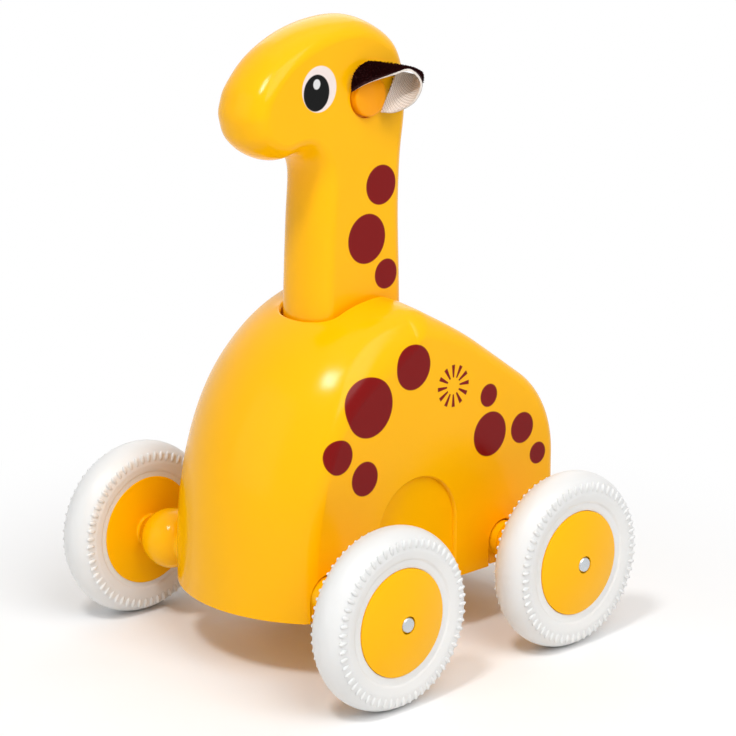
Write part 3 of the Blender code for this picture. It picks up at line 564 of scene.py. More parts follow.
def shell_form(name, inset, steps, across, foot):
    """The body's outside, or its inside when inset, as one closed form down to the foot."""
    profile = shell_profile(steps)
    half = BODY_HALF_WIDTH - inset
    rows = []
    for i, (px, pz) in enumerate(profile):
        ax, az = profile[max(i - 1, 0)]
        bx, bz = profile[min(i + 1, len(profile) - 1)]
        reach = math.hypot(bx - ax, bz - az)
        nx = (bz - az) / reach
        nz = -(bx - ax) / reach
        if i in (0, len(profile) - 1):
            nx = math.copysign(1.0, nx)
            nz = 0.0
        front = ease((px - BLEND_REAR_X) / (BLEND_FRONT_X - BLEND_REAR_X))
        crest = math.exp(-(((px - CREST_FILLET_X) / CREST_FILLET_REACH) ** 2))
        crest *= ease((2.2 * pz - 0.9 * CREST[1]) / CREST[1])
        fillet = FRONT_FILLET * front + BACK_FILLET * (1.0 - front) + CREST_FILLET * crest
        fillet = max(fillet - inset, LEAST_FILLET)
        row = []
        for j in range(across + 1):
            y = half * math.sin(0.5 * math.pi * (2.0 * j / across - 1.0))
            edge = min(max((abs(y) - (half - fillet)) / fillet, 0.0), 1.0)
            drop = front * (FRONT_PLAN_RADIUS - math.sqrt(FRONT_PLAN_RADIUS ** 2 - y * y))
            drop += fillet * (1.0 - math.sqrt(max(1.0 - edge * edge, 0.0))) + inset
            row.append((px - drop * nx, y, pz - drop * nz))
        rows.append(row)
    rows[0] = [(x, y, foot) for x, y, z in rows[0]]
    rows[-1] = [(x, y, foot) for x, y, z in rows[-1]]
    count = across + 1
    verts = [p for row in rows for p in row]
    faces = []
    for i in range(len(rows) - 1):
        for j in range(across):
            a = i * count + j
            faces.append((a, a + 1, a + count + 1, a + count))
    last = (len(rows) - 1) * count
    faces.append(tuple(i * count for i in range(len(rows))))
    faces.append(tuple(i * count + across for i in range(len(rows))))
    faces.append(tuple(range(count)) + tuple(range(last + across, last - 1, -1)))
    return finished(name, verts, faces, None)


def flat_sided(half, wide, edge, steps, straight):
    """Half of a flat-sided section with rounded ends, from end to end as (along, across)."""
    points = []
    for i in range(steps + 1):
        a = 0.5 * math.pi * i / steps
        points.append((edge * (1.0 - math.cos(a)) - half, wide * math.sin(a)))
    flat = [((half - edge) * (2.0 * i / straight - 1.0), wide) for i in range(1, straight)]
    return points + flat + [(-u, v) for u, v in reversed(points)]


def hole_ring(grow):
    """The neck hole's outline seen from above, grown all round."""
    side = flat_sided(HOLE_HALF_LENGTH + grow, HOLE_HALF_WIDTH + grow, HOLE_EDGE_ROUND + grow, 16, 20)
    side = [(NECK_X + u, v) for u, v in side]
    return side + [(x, -y) for x, y in reversed(side[1:-1])]


def lip_drop(lip, t):
    """How far a rounded mouth lies below its face, from t = 0 at the wall to t = 1 at the face."""
    return lip * (max(1.0 - t, 0.0) ** 2) - LIP_FLARE * lip * (t - 1.0)


def hole_tool(surface, steps=7):
    """Cutter for the neck hole whose mouth flares to a rounded lip on the curved top."""
    rings = [[(x, y, NECK_FOOT_Z - CUT_OVERRUN) for x, y in hole_ring(0.0)]]
    for k in range(steps + 2):
        t = k / steps
        ring = []
        for x, y in hole_ring(HOLE_LIP * t):
            top = surface.ray_cast(Vector((x, y, ABOVE_TOY_Z)), Vector((0.0, 0.0, -1.0)))[0].z
            ring.append((x, y, top - lip_drop(HOLE_LIP, t)))
        rings.append(ring)
    rings.append([(x, y, HOLE_CUT_TOP_Z) for x, y, z in rings[-1]])
    return stacked("hole", rings)


def arch_outline(cx, radius, spring, count=48):
    """An arch that stands open on the shell's foot, as (x, z)."""
    low = BODY_BOTTOM_Z - CUT_OVERRUN
    points = [(cx - radius, low), (cx + radius, low)]
    for i in range(count + 1):
        a = math.pi * i / count
        points.append((cx + radius * math.cos(a), spring + radius * math.sin(a)))
    return points


def flank_tool(cx, radius, spring, side, depth, lip, steps=6):
    """Cutter for an arched recess or slot in a flat flank, with a rounded mouth."""
    rings = [[(u, side * (BODY_HALF_WIDTH - depth), v) for u, v in arch_outline(cx, radius, spring)]]
    for k in range(steps + 2):
        t = k / steps
        y = BODY_HALF_WIDTH - lip_drop(lip, t)
        rings.append([(u, side * y, v) for u, v in arch_outline(cx, radius + lip * t, spring)])
    rings.append([(u, side * (BODY_HALF_WIDTH + CUT_OVERRUN), v) for u, y, v in rings[-1]])
    return stacked("recess", rings)


cavity = shell_form("cavity", SHELL_WALL, steps=28, across=28, foot=BODY_BOTTOM_Z - CUT_OVERRUN)
collar = hole_ring(COLLAR_WALL)
carve(cavity, stacked("collar", [[(x, y, z) for x, y in collar] for z in (NECK_FOOT_Z, COLLAR_TOP_Z)]))
shell = shell_form("shell_moulding", 0.0, steps=84, across=88, foot=BODY_BOTTOM_Z)
shell_bm = bmesh.new()
shell_bm.from_mesh(shell.data)
hole = hole_tool(BVHTree.FromBMesh(shell_bm))
shell_bm.free()
carve(shell, cavity)
carve(shell, hole)
for word, side in SIDES:
    carve(shell, flank_tool(0.0, ARCH_RADIUS, ARCH_SPRING_Z, side, ARCH_DEPTH, ARCH_LIP))
    for tag, x in ENDS:
        carve(shell, flank_tool(x, STEM_RADIUS + FIT_GAP, WHEEL_RADIUS, side, SLOT_DEPTH, SLOT_LIP))


def settled(ob, sharp):
    """Merge what the cuts left, then take weighted normals so flats stay flat and curves stay smooth."""
    bm = bmesh.new()
    bm.from_mesh(ob.data)
    bmesh.ops.remove_doubles(bm, verts=bm.verts, dist=2e-6)
    bmesh.ops.dissolve_degenerate(bm, edges=bm.edges, dist=1e-6)
    bm.to_mesh(ob.data)
    bm.free()
    ob.data.shade_smooth()
    ob.data.set_sharp_from_angle(angle=math.radians(sharp))
    mod = ob.modifiers.new("normals", "WEIGHTED_NORMAL")
    mod.keep_sharp = True
    mod.weight = 60
    applied(ob)


settled(shell, 32.0)


def maths(tree, operation, *operands):
    """One Math node; each operand is a number or a socket."""
    return node(tree, "ShaderNodeMath", dict(enumerate(operands)), operation=operation).outputs["Value"]


def gap_to(tree, point, centre):
    """The distance from a point to a centre."""
    return node(tree, "ShaderNodeVectorMath", {0: point, 1: centre}, operation="DISTANCE").outputs["Value"]


def length_of(tree, u, v):
    """The length of an offset (u, v)."""
    squares = (maths(tree, "MULTIPLY", part, part) for part in (u, v))
    return maths(tree, "SQRT", maths(tree, "ADD", *squares))


def soft_step(tree, value, half=PRINT_EDGE):
    """1 where value is above half, 0 below minus half."""
    return spread(tree, value, 0.0, 1.0, -half, half)


round_print, round_in, round_out = socket_tree(
    "round_print", "ShaderNodeTree",
    {"Point": "Vector", "Centre": "Vector", "Radius": "Float"}, {"Mask": "Float"},
)
round_gap = gap_to(round_print, round_in["Point"], round_in["Centre"])
round_inside = maths(round_print, "SUBTRACT", round_in["Radius"], round_gap)
wire(round_print, round_out, {"Mask": soft_step(round_print, round_inside)})


def both_sides(tree):
    """Object coordinates with y mirrored, so a print lies on both sides of the toy, and their parts."""
    coords = node(tree, "ShaderNodeTexCoord")
    parts = node(tree, "ShaderNodeSeparateXYZ", {"Vector": coords.outputs["Object"]}).outputs
    outward = maths(tree, "ABSOLUTE", parts["Y"])
    point = node(tree, "ShaderNodeCombineXYZ", {"X": parts["X"], "Y": outward, "Z": parts["Z"]})
    return point.outputs["Vector"], parts["X"], outward, parts["Z"]


def spots(tree, point, places):
    """The joined mask of round prints."""
    mask = None
    for centre, radius in places:
        feeds = {"Point": point, "Centre": centre, "Radius": radius}
        spot = node(tree, "ShaderNodeGroup", feeds, node_tree=round_print).outputs["Mask"]
        mask = spot if mask is None else maths(tree, "MAXIMUM", mask, spot)
    return mask


def mixed(tree, mask, under, over):
    """Blend two colours, each a value or a socket, by a mask."""
    blend = node(tree, "ShaderNodeMix", {"Factor": mask}, data_type="RGBA")
    for socket, colour in zip((s for s in blend.inputs if s.type == "RGBA"), (under, over)):
        feed(tree, socket, colour)
    return next(s for s in blend.outputs if s.type == "RGBA")


BODY_SPOTS = (
    ((0.0181, 0.0280, 0.0740), 0.0083),
    ((0.0019, 0.0280, 0.0821), 0.0063),
    ((0.0294, 0.0278, 0.0625), 0.0048),
    ((0.0201, 0.0280, 0.0546), 0.0048),
    ((-0.0273, 0.0280, 0.0684), 0.0033),
    ((-0.0279, 0.0280, 0.0571), 0.0064),
    ((-0.0409, 0.0280, 0.0562), 0.0045),
    ((-0.0474, 0.0280, 0.0474), 0.0032),
)
BURST_CENTRE = (-0.0133, 0.0739)
BURST_RAYS = 12
BURST_INNER = 0.0024
BURST_OUTER = 0.0060
BURST_FILL = 0.40
RAY_EDGE = 0.02

shell_material, tree, shader = new_material("shell_yellow")
point, along, outward, up = both_sides(tree)
off_x = maths(tree, "SUBTRACT", along, BURST_CENTRE[0])
off_z = maths(tree, "SUBTRACT", up, BURST_CENTRE[1])
reach = length_of(tree, off_x, off_z)
turns = maths(tree, "MULTIPLY", maths(tree, "ARCTAN2", off_z, off_x), BURST_RAYS / (2.0 * math.pi))
sector = maths(tree, "FRACT", maths(tree, "ADD", turns, 0.5))
off_ray = maths(tree, "ABSOLUTE", maths(tree, "SUBTRACT", sector, 0.5))
burst = soft_step(tree, maths(tree, "SUBTRACT", BURST_FILL * 0.5, off_ray), RAY_EDGE)
for more, less in ((reach, BURST_INNER), (BURST_OUTER, reach), (outward, FLANK_PRINT_Y)):
    burst = maths(tree, "MULTIPLY", burst, soft_step(tree, maths(tree, "SUBTRACT", more, less)))
print_mask = maths(tree, "MAXIMUM", spots(tree, point, BODY_SPOTS), burst)
glossed(tree, shader, mixed(tree, print_mask, TOY_YELLOW, SPOT_RED))
coat(shell, shell_material)
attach(shell, "body")
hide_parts("body_shell")

# Hubs
# Four yellow moulded discs, gently domed outside and flat inside, pressed on the axle ends.
# The tyre snaps over the rim up to a thin flange on the inner face, so only clean round edges show.
HUB_RADIUS = 0.0147
HUB_INNER_Y = 0.0467
HUB_OUTER_Y = 0.0569
HUB_DOME = 0.0023
HUB_BOSS = 0.0009
HUB_EDGE = 0.0006
FLANGE_RADIUS = 0.0156
FLANGE_THICKNESS = 0.00028
BORE_GAP = 0.0002
BORE_SINK = 0.0012
RIM_DROP = 0.0002
DOME_SPACING = 0.8

for tag, x, word, side in WHEELS:
    bore = AXLE_RADIUS + BORE_GAP
    boss = 2.0 * AXLE_RADIUS
    flange_y = HUB_INNER_Y + FLANGE_THICKNESS
    rim = eased([(boss, HUB_INNER_Y - HUB_BOSS), (boss, HUB_INNER_Y), (FLANGE_RADIUS, HUB_INNER_Y),
                 (FLANGE_RADIUS, flange_y), (HUB_RADIUS, flange_y), (HUB_RADIUS, HUB_OUTER_Y - RIM_DROP)],
                HUB_EDGE, 5)
    profile = [(bore, HUB_INNER_Y - HUB_BOSS)] + rim
    for i in range(25):
        r = bore + (HUB_RADIUS - bore) * math.cos(0.5 * math.pi * i / 24) ** DOME_SPACING
        dome = HUB_DOME * (1.0 - (r / HUB_RADIUS) ** 2)
        profile.append((r, HUB_OUTER_Y + dome))
    profile.append((bore, HUB_OUTER_Y + HUB_DOME - BORE_SINK))
    profile = [(r, side * y) for r, y in profile]
    hub = turned("hub_disc_" + tag + "_" + word, profile, x, WHEEL_RADIUS, 96, True, gloss_yellow, 50.0)
    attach(hub, tag + "_axle")
    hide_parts("hub_" + tag + "_" + word)

# Tyres
# Soft white moulded rings, the same on both faces: a smooth crowned tread, a ring of short radial ribs
# on each shoulder, and a flat ring with one shallow step next to the hub.
TYRE_MIDDLE_Y = 0.0518
TYRE_HALF_WIDTH = 0.0056
TYRE_BEAD_HALF_WIDTH = 0.0048
TYRE_BEAD_EDGE = 0.0008
TYRE_STEP_RADIUS = 0.0170
TYRE_STEP_RISE = 0.0004
TYRE_EDGE = 0.0003
FACE_INNER_RADIUS = 0.0196
FACE_OUTER_RADIUS = 0.0215
FACE_FALL = 0.0001
TREAD_CROWN = 0.0068
TYRE_BORE = 0.01475
RIB_COUNT = 60
RIB_RING = 0.0216
RIB_LENGTH = 0.0030
RIB_WIDTH = 0.0014
RIB_HEIGHT = 0.0011
RIB_OFFSET = 0.00535
TYRE_WHITE = (0.79, 0.79, 0.78, 1.0)

tyre_white, tree, shader = new_material("tyre_white")
skinned(tree, shader, TYRE_WHITE, dark_tone=0.955, low=0.36, high=0.48, bump=0.10)
wire(tree, shader, {"Subsurface Weight": 0.2, "Subsurface Radius": (1.0, 0.9, 0.8), "Subsurface Scale": 0.001})

rib_tree, rib_in, rib_out = growth_tree("tyre_ribs", {
    "Count": "Int", "Ring Radius": "Float", "Offset": "Float", "Rib Size": "Vector", "Centre": "Vector",
})
ring = node(rib_tree, "GeometryNodeMeshCircle",
            {"Vertices": rib_in["Count"], "Radius": rib_in["Ring Radius"]})
knob = node(rib_tree, "GeometryNodeMeshUVSphere", {"Segments": 10, "Rings": 6, "Radius": 0.5})
facing = node(rib_tree, "FunctionNodeAlignRotationToVector",
              {"Vector": node(rib_tree, "GeometryNodeInputPosition")}, axis="X", pivot_axis="Z")
shoulders = []
for sign in (1.0, -1.0):
    placed = node(rib_tree, "GeometryNodeInstanceOnPoints",
                  {"Points": ring, "Instance": knob, "Rotation": facing, "Scale": rib_in["Rib Size"]})
    lift = node(rib_tree, "ShaderNodeCombineXYZ", {"Z": maths(rib_tree, "MULTIPLY", rib_in["Offset"], sign)})
    shoulders.append(node(rib_tree, "GeometryNodeTransform", {"Geometry": placed, "Translation": lift}))
both_shoulders = node(rib_tree, "GeometryNodeJoinGeometry", {"Geometry": shoulders})
upright = node(rib_tree, "GeometryNodeTransform",
               {"Geometry": both_shoulders, "Rotation": (math.radians(-90.0), 0.0, 0.0)})
moved = node(rib_tree, "GeometryNodeTransform", {"Geometry": upright, "Translation": rib_in["Centre"]})
smooth = node(rib_tree, "GeometryNodeSetShadeSmooth", {"Geometry": moved})
with_tyre = node(rib_tree, "GeometryNodeJoinGeometry", {"Geometry": [smooth, rib_in["Geometry"]]})
close_growth(rib_tree, rib_in, rib_out, with_tyre)

for tag, x, word, side in WHEELS:
    face = [(TYRE_BORE, TYRE_BEAD_HALF_WIDTH - TYRE_BEAD_EDGE), (TYRE_BORE, TYRE_BEAD_HALF_WIDTH),
            (TYRE_STEP_RADIUS, TYRE_BEAD_HALF_WIDTH),
            (TYRE_STEP_RADIUS + TYRE_STEP_RISE, TYRE_HALF_WIDTH - TYRE_STEP_RISE),
            (FACE_INNER_RADIUS, TYRE_HALF_WIDTH), (FACE_OUTER_RADIUS, TYRE_HALF_WIDTH - FACE_FALL)]
    face = eased(face, TYRE_EDGE, 3)
    for i in range(19):
        y = (TYRE_HALF_WIDTH - TYRE_EDGE) * math.cos(0.5 * math.pi * i / 18)
        face.append((WHEEL_RADIUS - TREAD_CROWN + math.sqrt(TREAD_CROWN ** 2 - y * y), y))
    profile = [(r, side * (TYRE_MIDDLE_Y - y)) for r, y in face]
    profile += [(r, side * (TYRE_MIDDLE_Y + y)) for r, y in reversed(face[:-1])]
    tyre = turned("tyre_ring_" + tag + "_" + word, profile, x, WHEEL_RADIUS, 120, True, tyre_white, 60.0)
    grown(tyre, rib_tree, {
        "Count": RIB_COUNT,
        "Ring Radius": RIB_RING,
        "Offset": RIB_OFFSET,
        "Rib Size": (RIB_LENGTH, RIB_WIDTH, RIB_HEIGHT),
        "Centre": (x, side * TYRE_MIDDLE_Y, WHEEL_RADIUS),
        "Material": tyre_white,
    })
    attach(tyre, tag + "_axle")
    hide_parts("tyre_" + tag + "_" + word)

# Head and neck
# A hollow yellow moulding that slides down into the body when the head is pressed. Neck and head share
# flat sides with well rounded edges; the eyes and three spots a side are pad printed on the flats.
NECK_HALF_LENGTH = 0.0166
NECK_HALF_WIDTH = 0.0095
NECK_EDGE_ROUND = 0.0056
HEAD_TOP_Z = 0.1750
CHIN_Z = 0.1389
MUZZLE_X = 0.0418
MUZZLE_Z = 0.1517
HEAD_WALL = 0.0022
EAR_X = 0.0018
EAR_Z = 0.1538
PLUG_RADIUS = 0.0055
SOCKET_DEPTH = 0.0010
SOCKET_GAP = 0.0006
SOCKET_CUT_Y = 0.0300
EYE_FLAT_SLACK = 0.0010
OUTLINE_SMOOTHINGS = 6


def head_stations():
    """Stations up the neck and round the head: throat side (x, z), nape side (x, z)."""
    cx, nl, mx, cz = NECK_X, NECK_HALF_LENGTH, MUZZLE_X, CHIN_Z
    hz = HEAD_TOP_Z - CHIN_Z
    return [
        (cx + 1.03 * nl, NECK_FOOT_Z, cx - 1.03 * nl, NECK_FOOT_Z),
        (cx + 1.014 * nl, cz - 1.07 * hz, cx - 1.014 * nl, cz - 1.07 * hz),
        (cx + 0.955 * nl, cz - 0.52 * hz, cx - 0.985 * nl, cz - 0.52 * hz),
        (cx + 0.91 * nl, cz - 0.16 * hz, cx - 1.02 * nl, cz - 0.10 * hz),
        (0.48 * mx, cz - 0.014 * hz, cx - 1.115 * nl, cz + 0.23 * hz),
        (0.53 * mx, cz + 0.022 * hz, cx - 1.104 * nl, cz + 0.50 * hz),
        (0.585 * mx, cz + 0.022 * hz, -0.28 * mx, cz + 0.79 * hz),
        (0.645 * mx, cz + 0.006 * hz, -0.03 * mx, cz + 0.97 * hz),
        (0.71 * mx, cz, 0.21 * mx, HEAD_TOP_Z),
        (0.79 * mx, cz + 0.021 * hz, 0.50 * mx, cz + 0.935 * hz),
        (0.880 * mx, cz + 0.077 * hz, 0.760 * mx, cz + 0.784 * hz),
        (0.958 * mx, cz + 0.171 * hz, 0.935 * mx, cz + 0.577 * hz),
        (0.990 * mx, cz + 0.285 * hz, 0.985 * mx, cz + 0.443 * hz),
        (mx, MUZZLE_Z - 0.025 * hz, mx, MUZZLE_Z + 0.025 * hz),
    ]


def flowing(stations, steps):
    """Rows of a smooth curve through stations (Catmull-Rom)."""
    first = [2.0 * a - b for a, b in zip(stations[0], stations[1])]
    last = [2.0 * a - b for a, b in zip(stations[-1], stations[-2])]
    points = [first] + [list(s) for s in stations] + [last]
    rows = []
    for i in range(1, len(points) - 2):
        for k in range(steps):
            t = k / steps
            row = []
            for a, b, c, d in zip(*points[i - 1:i + 3]):
                bend = (2.0 * a - 5.0 * b + 4.0 * c - d) * t * t
                row.append(0.5 * (2.0 * b + (c - a) * t + bend + (3.0 * b - a - 3.0 * c + d) * t ** 3))
            rows.append(row)
    return rows + [list(stations[-1])]


def head_outline(count):
    """The side view's outline in even steps: up the throat, round the muzzle, down the nape."""
    rows = flowing(head_stations(), 12)
    loop = [Vector((row[0], row[1])) for row in rows] + [Vector((row[2], row[3])) for row in reversed(rows)]
    reach = [0.0]
    for a, b in zip(loop, loop[1:]):
        reach.append(reach[-1] + (b - a).length)
    even = []
    k = 0
    for i in range(count):
        want = reach[-1] * i / (count - 1)
        while k < len(loop) - 2 and reach[k + 1] < want:
            k += 1
        even.append(loop[k].lerp(loop[k + 1], (want - reach[k]) / (reach[k + 1] - reach[k])))
    for i in range(OUTLINE_SMOOTHINGS):
        even[1:-1] = [0.25 * a + 0.5 * b + 0.25 * c for a, b, c in zip(even, even[1:], even[2:])]
    return even


def head_form(name, inset, count, steps):
    """The flat-sided moulding with its edges rounded evenly along the outline, or its hollow when inset."""
    outline = head_outline(count)
    foot = NECK_FOOT_Z - (CUT_OVERRUN if inset else 0.0)
    rings = []
    for k in range(-steps, steps + 1):
        a = 0.5 * math.pi * k / steps
        deep = inset + (NECK_EDGE_ROUND - inset) * (1.0 - math.cos(a))
        ring = []
        for i, p in enumerate(outline):
            along = (outline[min(i + 1, count - 1)] - outline[max(i - 1, 0)]).normalized()
            z = foot if i in (0, count - 1) else p.y + deep * along.x
            ring.append((p.x - deep * along.y, (NECK_HALF_WIDTH - inset) * math.sin(a), z))
        rings.append(ring)
    return stacked(name, rings)


head = head_form("head_and_neck", 0.0, count=520, steps=14)
carve(head, head_form("hollow", HEAD_WALL, count=160, steps=5))
for word, side in SIDES:
    floor_y = NECK_HALF_WIDTH - SOCKET_DEPTH
    wall = PLUG_RADIUS + SOCKET_GAP
    socket_wall = ((0.0, floor_y), (wall, floor_y), (wall, SOCKET_CUT_Y), (0.0, SOCKET_CUT_Y))
    socket_wall = [(r, side * y) for r, y in socket_wall]
    carve(head, turned("socket", socket_wall, EAR_X, EAR_Z, 64, False, None))
settled(head, 45.0)

NECK_SPOTS = (
    ((-0.0035, 0.0095, 0.1287), 0.0055),
    ((0.0018, 0.0095, 0.1145), 0.0069),
    ((-0.0054, 0.0095, 0.1036), 0.0042),
)
EYE_WHITE = (0.87, 0.75, 0.71, 1.0)
PUPIL_BLACK = (0.0005, 0.0005, 0.0005, 1.0)
EYE_GLINT = (0.74, 0.74, 0.74, 1.0)
EYE_OVALS = (
    ((0.0190, 0.1577), (0.0061, 0.0062), EYE_WHITE),
    ((0.0200, 0.1568), (0.0046, 0.0049), PUPIL_BLACK),
    ((0.0199, 0.1591), (0.00125, 0.00135), EYE_GLINT),
)

head_material, tree, shader = new_material("head_yellow")
point, along, outward, up = both_sides(tree)
colour = mixed(tree, spots(tree, point, NECK_SPOTS), TOY_YELLOW, SPOT_RED)
on_flat = maths(tree, "GREATER_THAN", outward, NECK_HALF_WIDTH - EYE_FLAT_SLACK)
for centre, halves, tone in EYE_OVALS:
    offsets = [maths(tree, "DIVIDE", maths(tree, "SUBTRACT", part, middle), half)
               for part, middle, half in zip((along, up), centre, halves)]
    within = maths(tree, "SUBTRACT", 1.0, length_of(tree, *offsets))
    inside = soft_step(tree, within, PRINT_EDGE / halves[0])
    colour = mixed(tree, maths(tree, "MULTIPLY", inside, on_flat), colour, tone)
glossed(tree, shader, colour)
coat(head, head_material)
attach(head, "neck")
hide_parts("head_left", "head_right")

# Ear plugs
# A short round peg on each side of the head, set in a shallow socket, coloured a deeper, darker orange than
# the shell: partly the peg's own tint, partly painted shade from the ribbon loop over it. The two ends of the
# ear's ribbon are caught between the peg and the head.
PLUG_END_Y = 0.0118
PLUG_CROWN = 0.0004
PLUG_ROOT = 0.0006
PLUG_EDGE = 0.0007
# Deeper and darker than the shell's yellow: partly the peg's own tint, partly painted shade where the ear's
# loop overhangs it.
PEG_SHADED_ORANGE = (0.94, 0.345, 0.001, 1.0)

peg_shaded_orange, tree, shader = new_material("peg_shaded_orange")
glossed(tree, shader, PEG_SHADED_ORANGE)
for word, side in SIDES:
    inner = NECK_HALF_WIDTH - SOCKET_DEPTH - PLUG_ROOT
    profile = [(0.0, inner), (PLUG_RADIUS, inner), (PLUG_RADIUS, PLUG_END_Y - PLUG_CROWN)]
    profile += [(0.5 * PLUG_RADIUS, PLUG_END_Y - 0.25 * PLUG_CROWN), (0.0, PLUG_END_Y)]
    profile = [(r, side * y) for r, y in eased(profile, PLUG_EDGE, 6)]
    plug = turned("ear_peg_" + word, profile, EAR_X, EAR_Z, 64, False, peg_shaded_orange, 50.0)
    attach(plug, "neck")
    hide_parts("ear_plug_" + word)

# Ears
# A strip of woven white ribbon with dark brown pile on its outer face, bent to a loop. Both ends lie
# against the peg and the tip points back and outwards, open to the front.
EAR_WIDTH = 0.0106
EAR_LENGTH = 0.0310
EAR_ARCH = Vector((0.0020, 0.0, 0.0014))
EAR_ARCH_REACH = 0.45
EAR_TURN_ROW = 32
RIBBON_THICKNESS = 0.0006
PILE_COUNT = 2600
PILE_LENGTH = 0.0006
PILE_WIDTH = 0.00016
PILE_SEED = 7
PILE_LEAN = 0.45
PILE_SHORTEST = 0.7
PILE_LONGEST = 1.15
UPPER_BARE_COLUMNS = 1
LOWER_BARE_COLUMNS = 6
EAR_TOP_HALF = 0.005
THREAD_PITCH = 0.0009
THREAD_RELIEF = 0.0001
TUFT_BROWN = (0.021, 0.0014, 0.0016, 1.0)
PILE_BROWN = (0.019, 0.0014, 0.0016, 1.0)
# Painted shade for the hollows between the ribbon's threads; the threads themselves are cream.
THREAD_GAP_PAINTED_SHADE = (0.50, 0.44, 0.38, 1.0)
THREAD_CREAM = (0.88, 0.83, 0.78, 1.0)


def ear_stations():
    """Outer rim and inner edge of the ribbon in ribbon widths from the peg, upper end to lower end."""
    return [
        (0.62, 0.10, 0.18, 0.01, 0.09, 0.90),
        (0.37, 0.43, 0.42, -0.34, 0.11, 0.82),
        (-0.34, 0.63, 0.59, -0.96, 0.13, 0.65),
        (-0.64, 0.92, 0.69, -1.36, 0.24, 0.52),
        (-0.86, 1.09, 0.34, -1.53, 0.37, 0.44),
        (-0.78, 0.90, -0.13, -1.43, 0.26, 0.39),
        (-0.55, 0.48, -0.42, -1.19, 0.13, 0.465),
        (-0.39, 0.12, -0.46, -0.92, 0.12, 0.50),
    ]


ear_pile, tree, shader = new_material("brown_pile")
skinned(tree, shader, TUFT_BROWN, dark_tone=0.45, low=0.80, high=0.95, bump=0.30)
wire(tree, shader, {"Specular IOR Level": 0.05})

ear_cloth, tree, shader = new_material("ribbon_cloth")
lie_mark = node(tree, "ShaderNodeAttribute", attribute_name="lie")
face_mark = node(tree, "ShaderNodeAttribute", attribute_name="pile_side")
lie_parts = node(tree, "ShaderNodeSeparateXYZ", {"Vector": lie_mark.outputs["Vector"]}).outputs
thread = maths(tree, "MULTIPLY", *(
    maths(tree, "SINE", maths(tree, "MULTIPLY", lie_parts[way], 2.0 * math.pi / THREAD_PITCH)) for way in "XY"
))
# The backing runs from cream on the threads to a darker tone between them: that darker tone is painted shade
# in the weave's hollows, beside the thread bump.
backing = mixed(tree, spread(tree, thread, 0.0, 1.0, -0.8, 0.6), THREAD_GAP_PAINTED_SHADE, THREAD_CREAM)
piled = maths(tree, "GREATER_THAN", face_mark.outputs["Fac"], 0.9)
relief = node(tree, "ShaderNodeBump", {"Strength": 0.6, "Distance": THREAD_RELIEF, "Height": thread})
wire(tree, shader, {
    "Base Color": mixed(tree, piled, backing, PILE_BROWN), "Roughness": 0.85,
    "Specular IOR Level": 0.2, "Normal": relief,
})

pile_tree, pile_in, pile_out = growth_tree("ear_pile_growth", {
    "Count": "Int", "Length": "Float", "Width": "Float", "Seed": "Int",
})
area = node(pile_tree, "GeometryNodeInputMeshFaceArea")
total = node(pile_tree, "GeometryNodeAttributeStatistic",
             {"Geometry": pile_in["Geometry"], "Attribute": area}, domain="FACE")
density = maths(pile_tree, "DIVIDE", pile_in["Count"], total.outputs["Sum"])
sown = node(pile_tree, "GeometryNodeDistributePointsOnFaces",
            {"Mesh": pile_in["Geometry"], "Density": density, "Seed": pile_in["Seed"]})
tuft = node(pile_tree, "GeometryNodeMeshCone",
            {"Vertices": 5, "Radius Top": 0.25, "Radius Bottom": 1.0, "Depth": 1.0})
lean = node(pile_tree, "FunctionNodeRandomValue", {
    "Min": (-PILE_LEAN, -PILE_LEAN, 0.0), "Max": (PILE_LEAN, PILE_LEAN, 6.28), "Seed": pile_in["Seed"],
}, data_type="FLOAT_VECTOR")
tilted = node(pile_tree, "FunctionNodeRotateRotation",
              {"Rotation": sown.outputs["Rotation"], "Rotate By": lean}, rotation_space="LOCAL")
share = node(pile_tree, "FunctionNodeRandomValue", {"Seed": pile_in["Seed"]}, data_type="FLOAT")
for label, end in (("Min", PILE_SHORTEST), ("Max", PILE_LONGEST)):
    next(s for s in share.inputs if s.name == label and s.type == "VALUE").default_value = end
tall_share = next(s for s in share.outputs if s.type == "VALUE")
tall = maths(pile_tree, "MULTIPLY", pile_in["Length"], tall_share)
shape = node(pile_tree, "ShaderNodeCombineXYZ", {"X": pile_in["Width"], "Y": pile_in["Width"], "Z": tall})
standing = node(pile_tree, "GeometryNodeInstanceOnPoints",
                {"Points": sown, "Instance": tuft, "Rotation": tilted, "Scale": shape})
close_growth(pile_tree, pile_in, pile_out, standing)

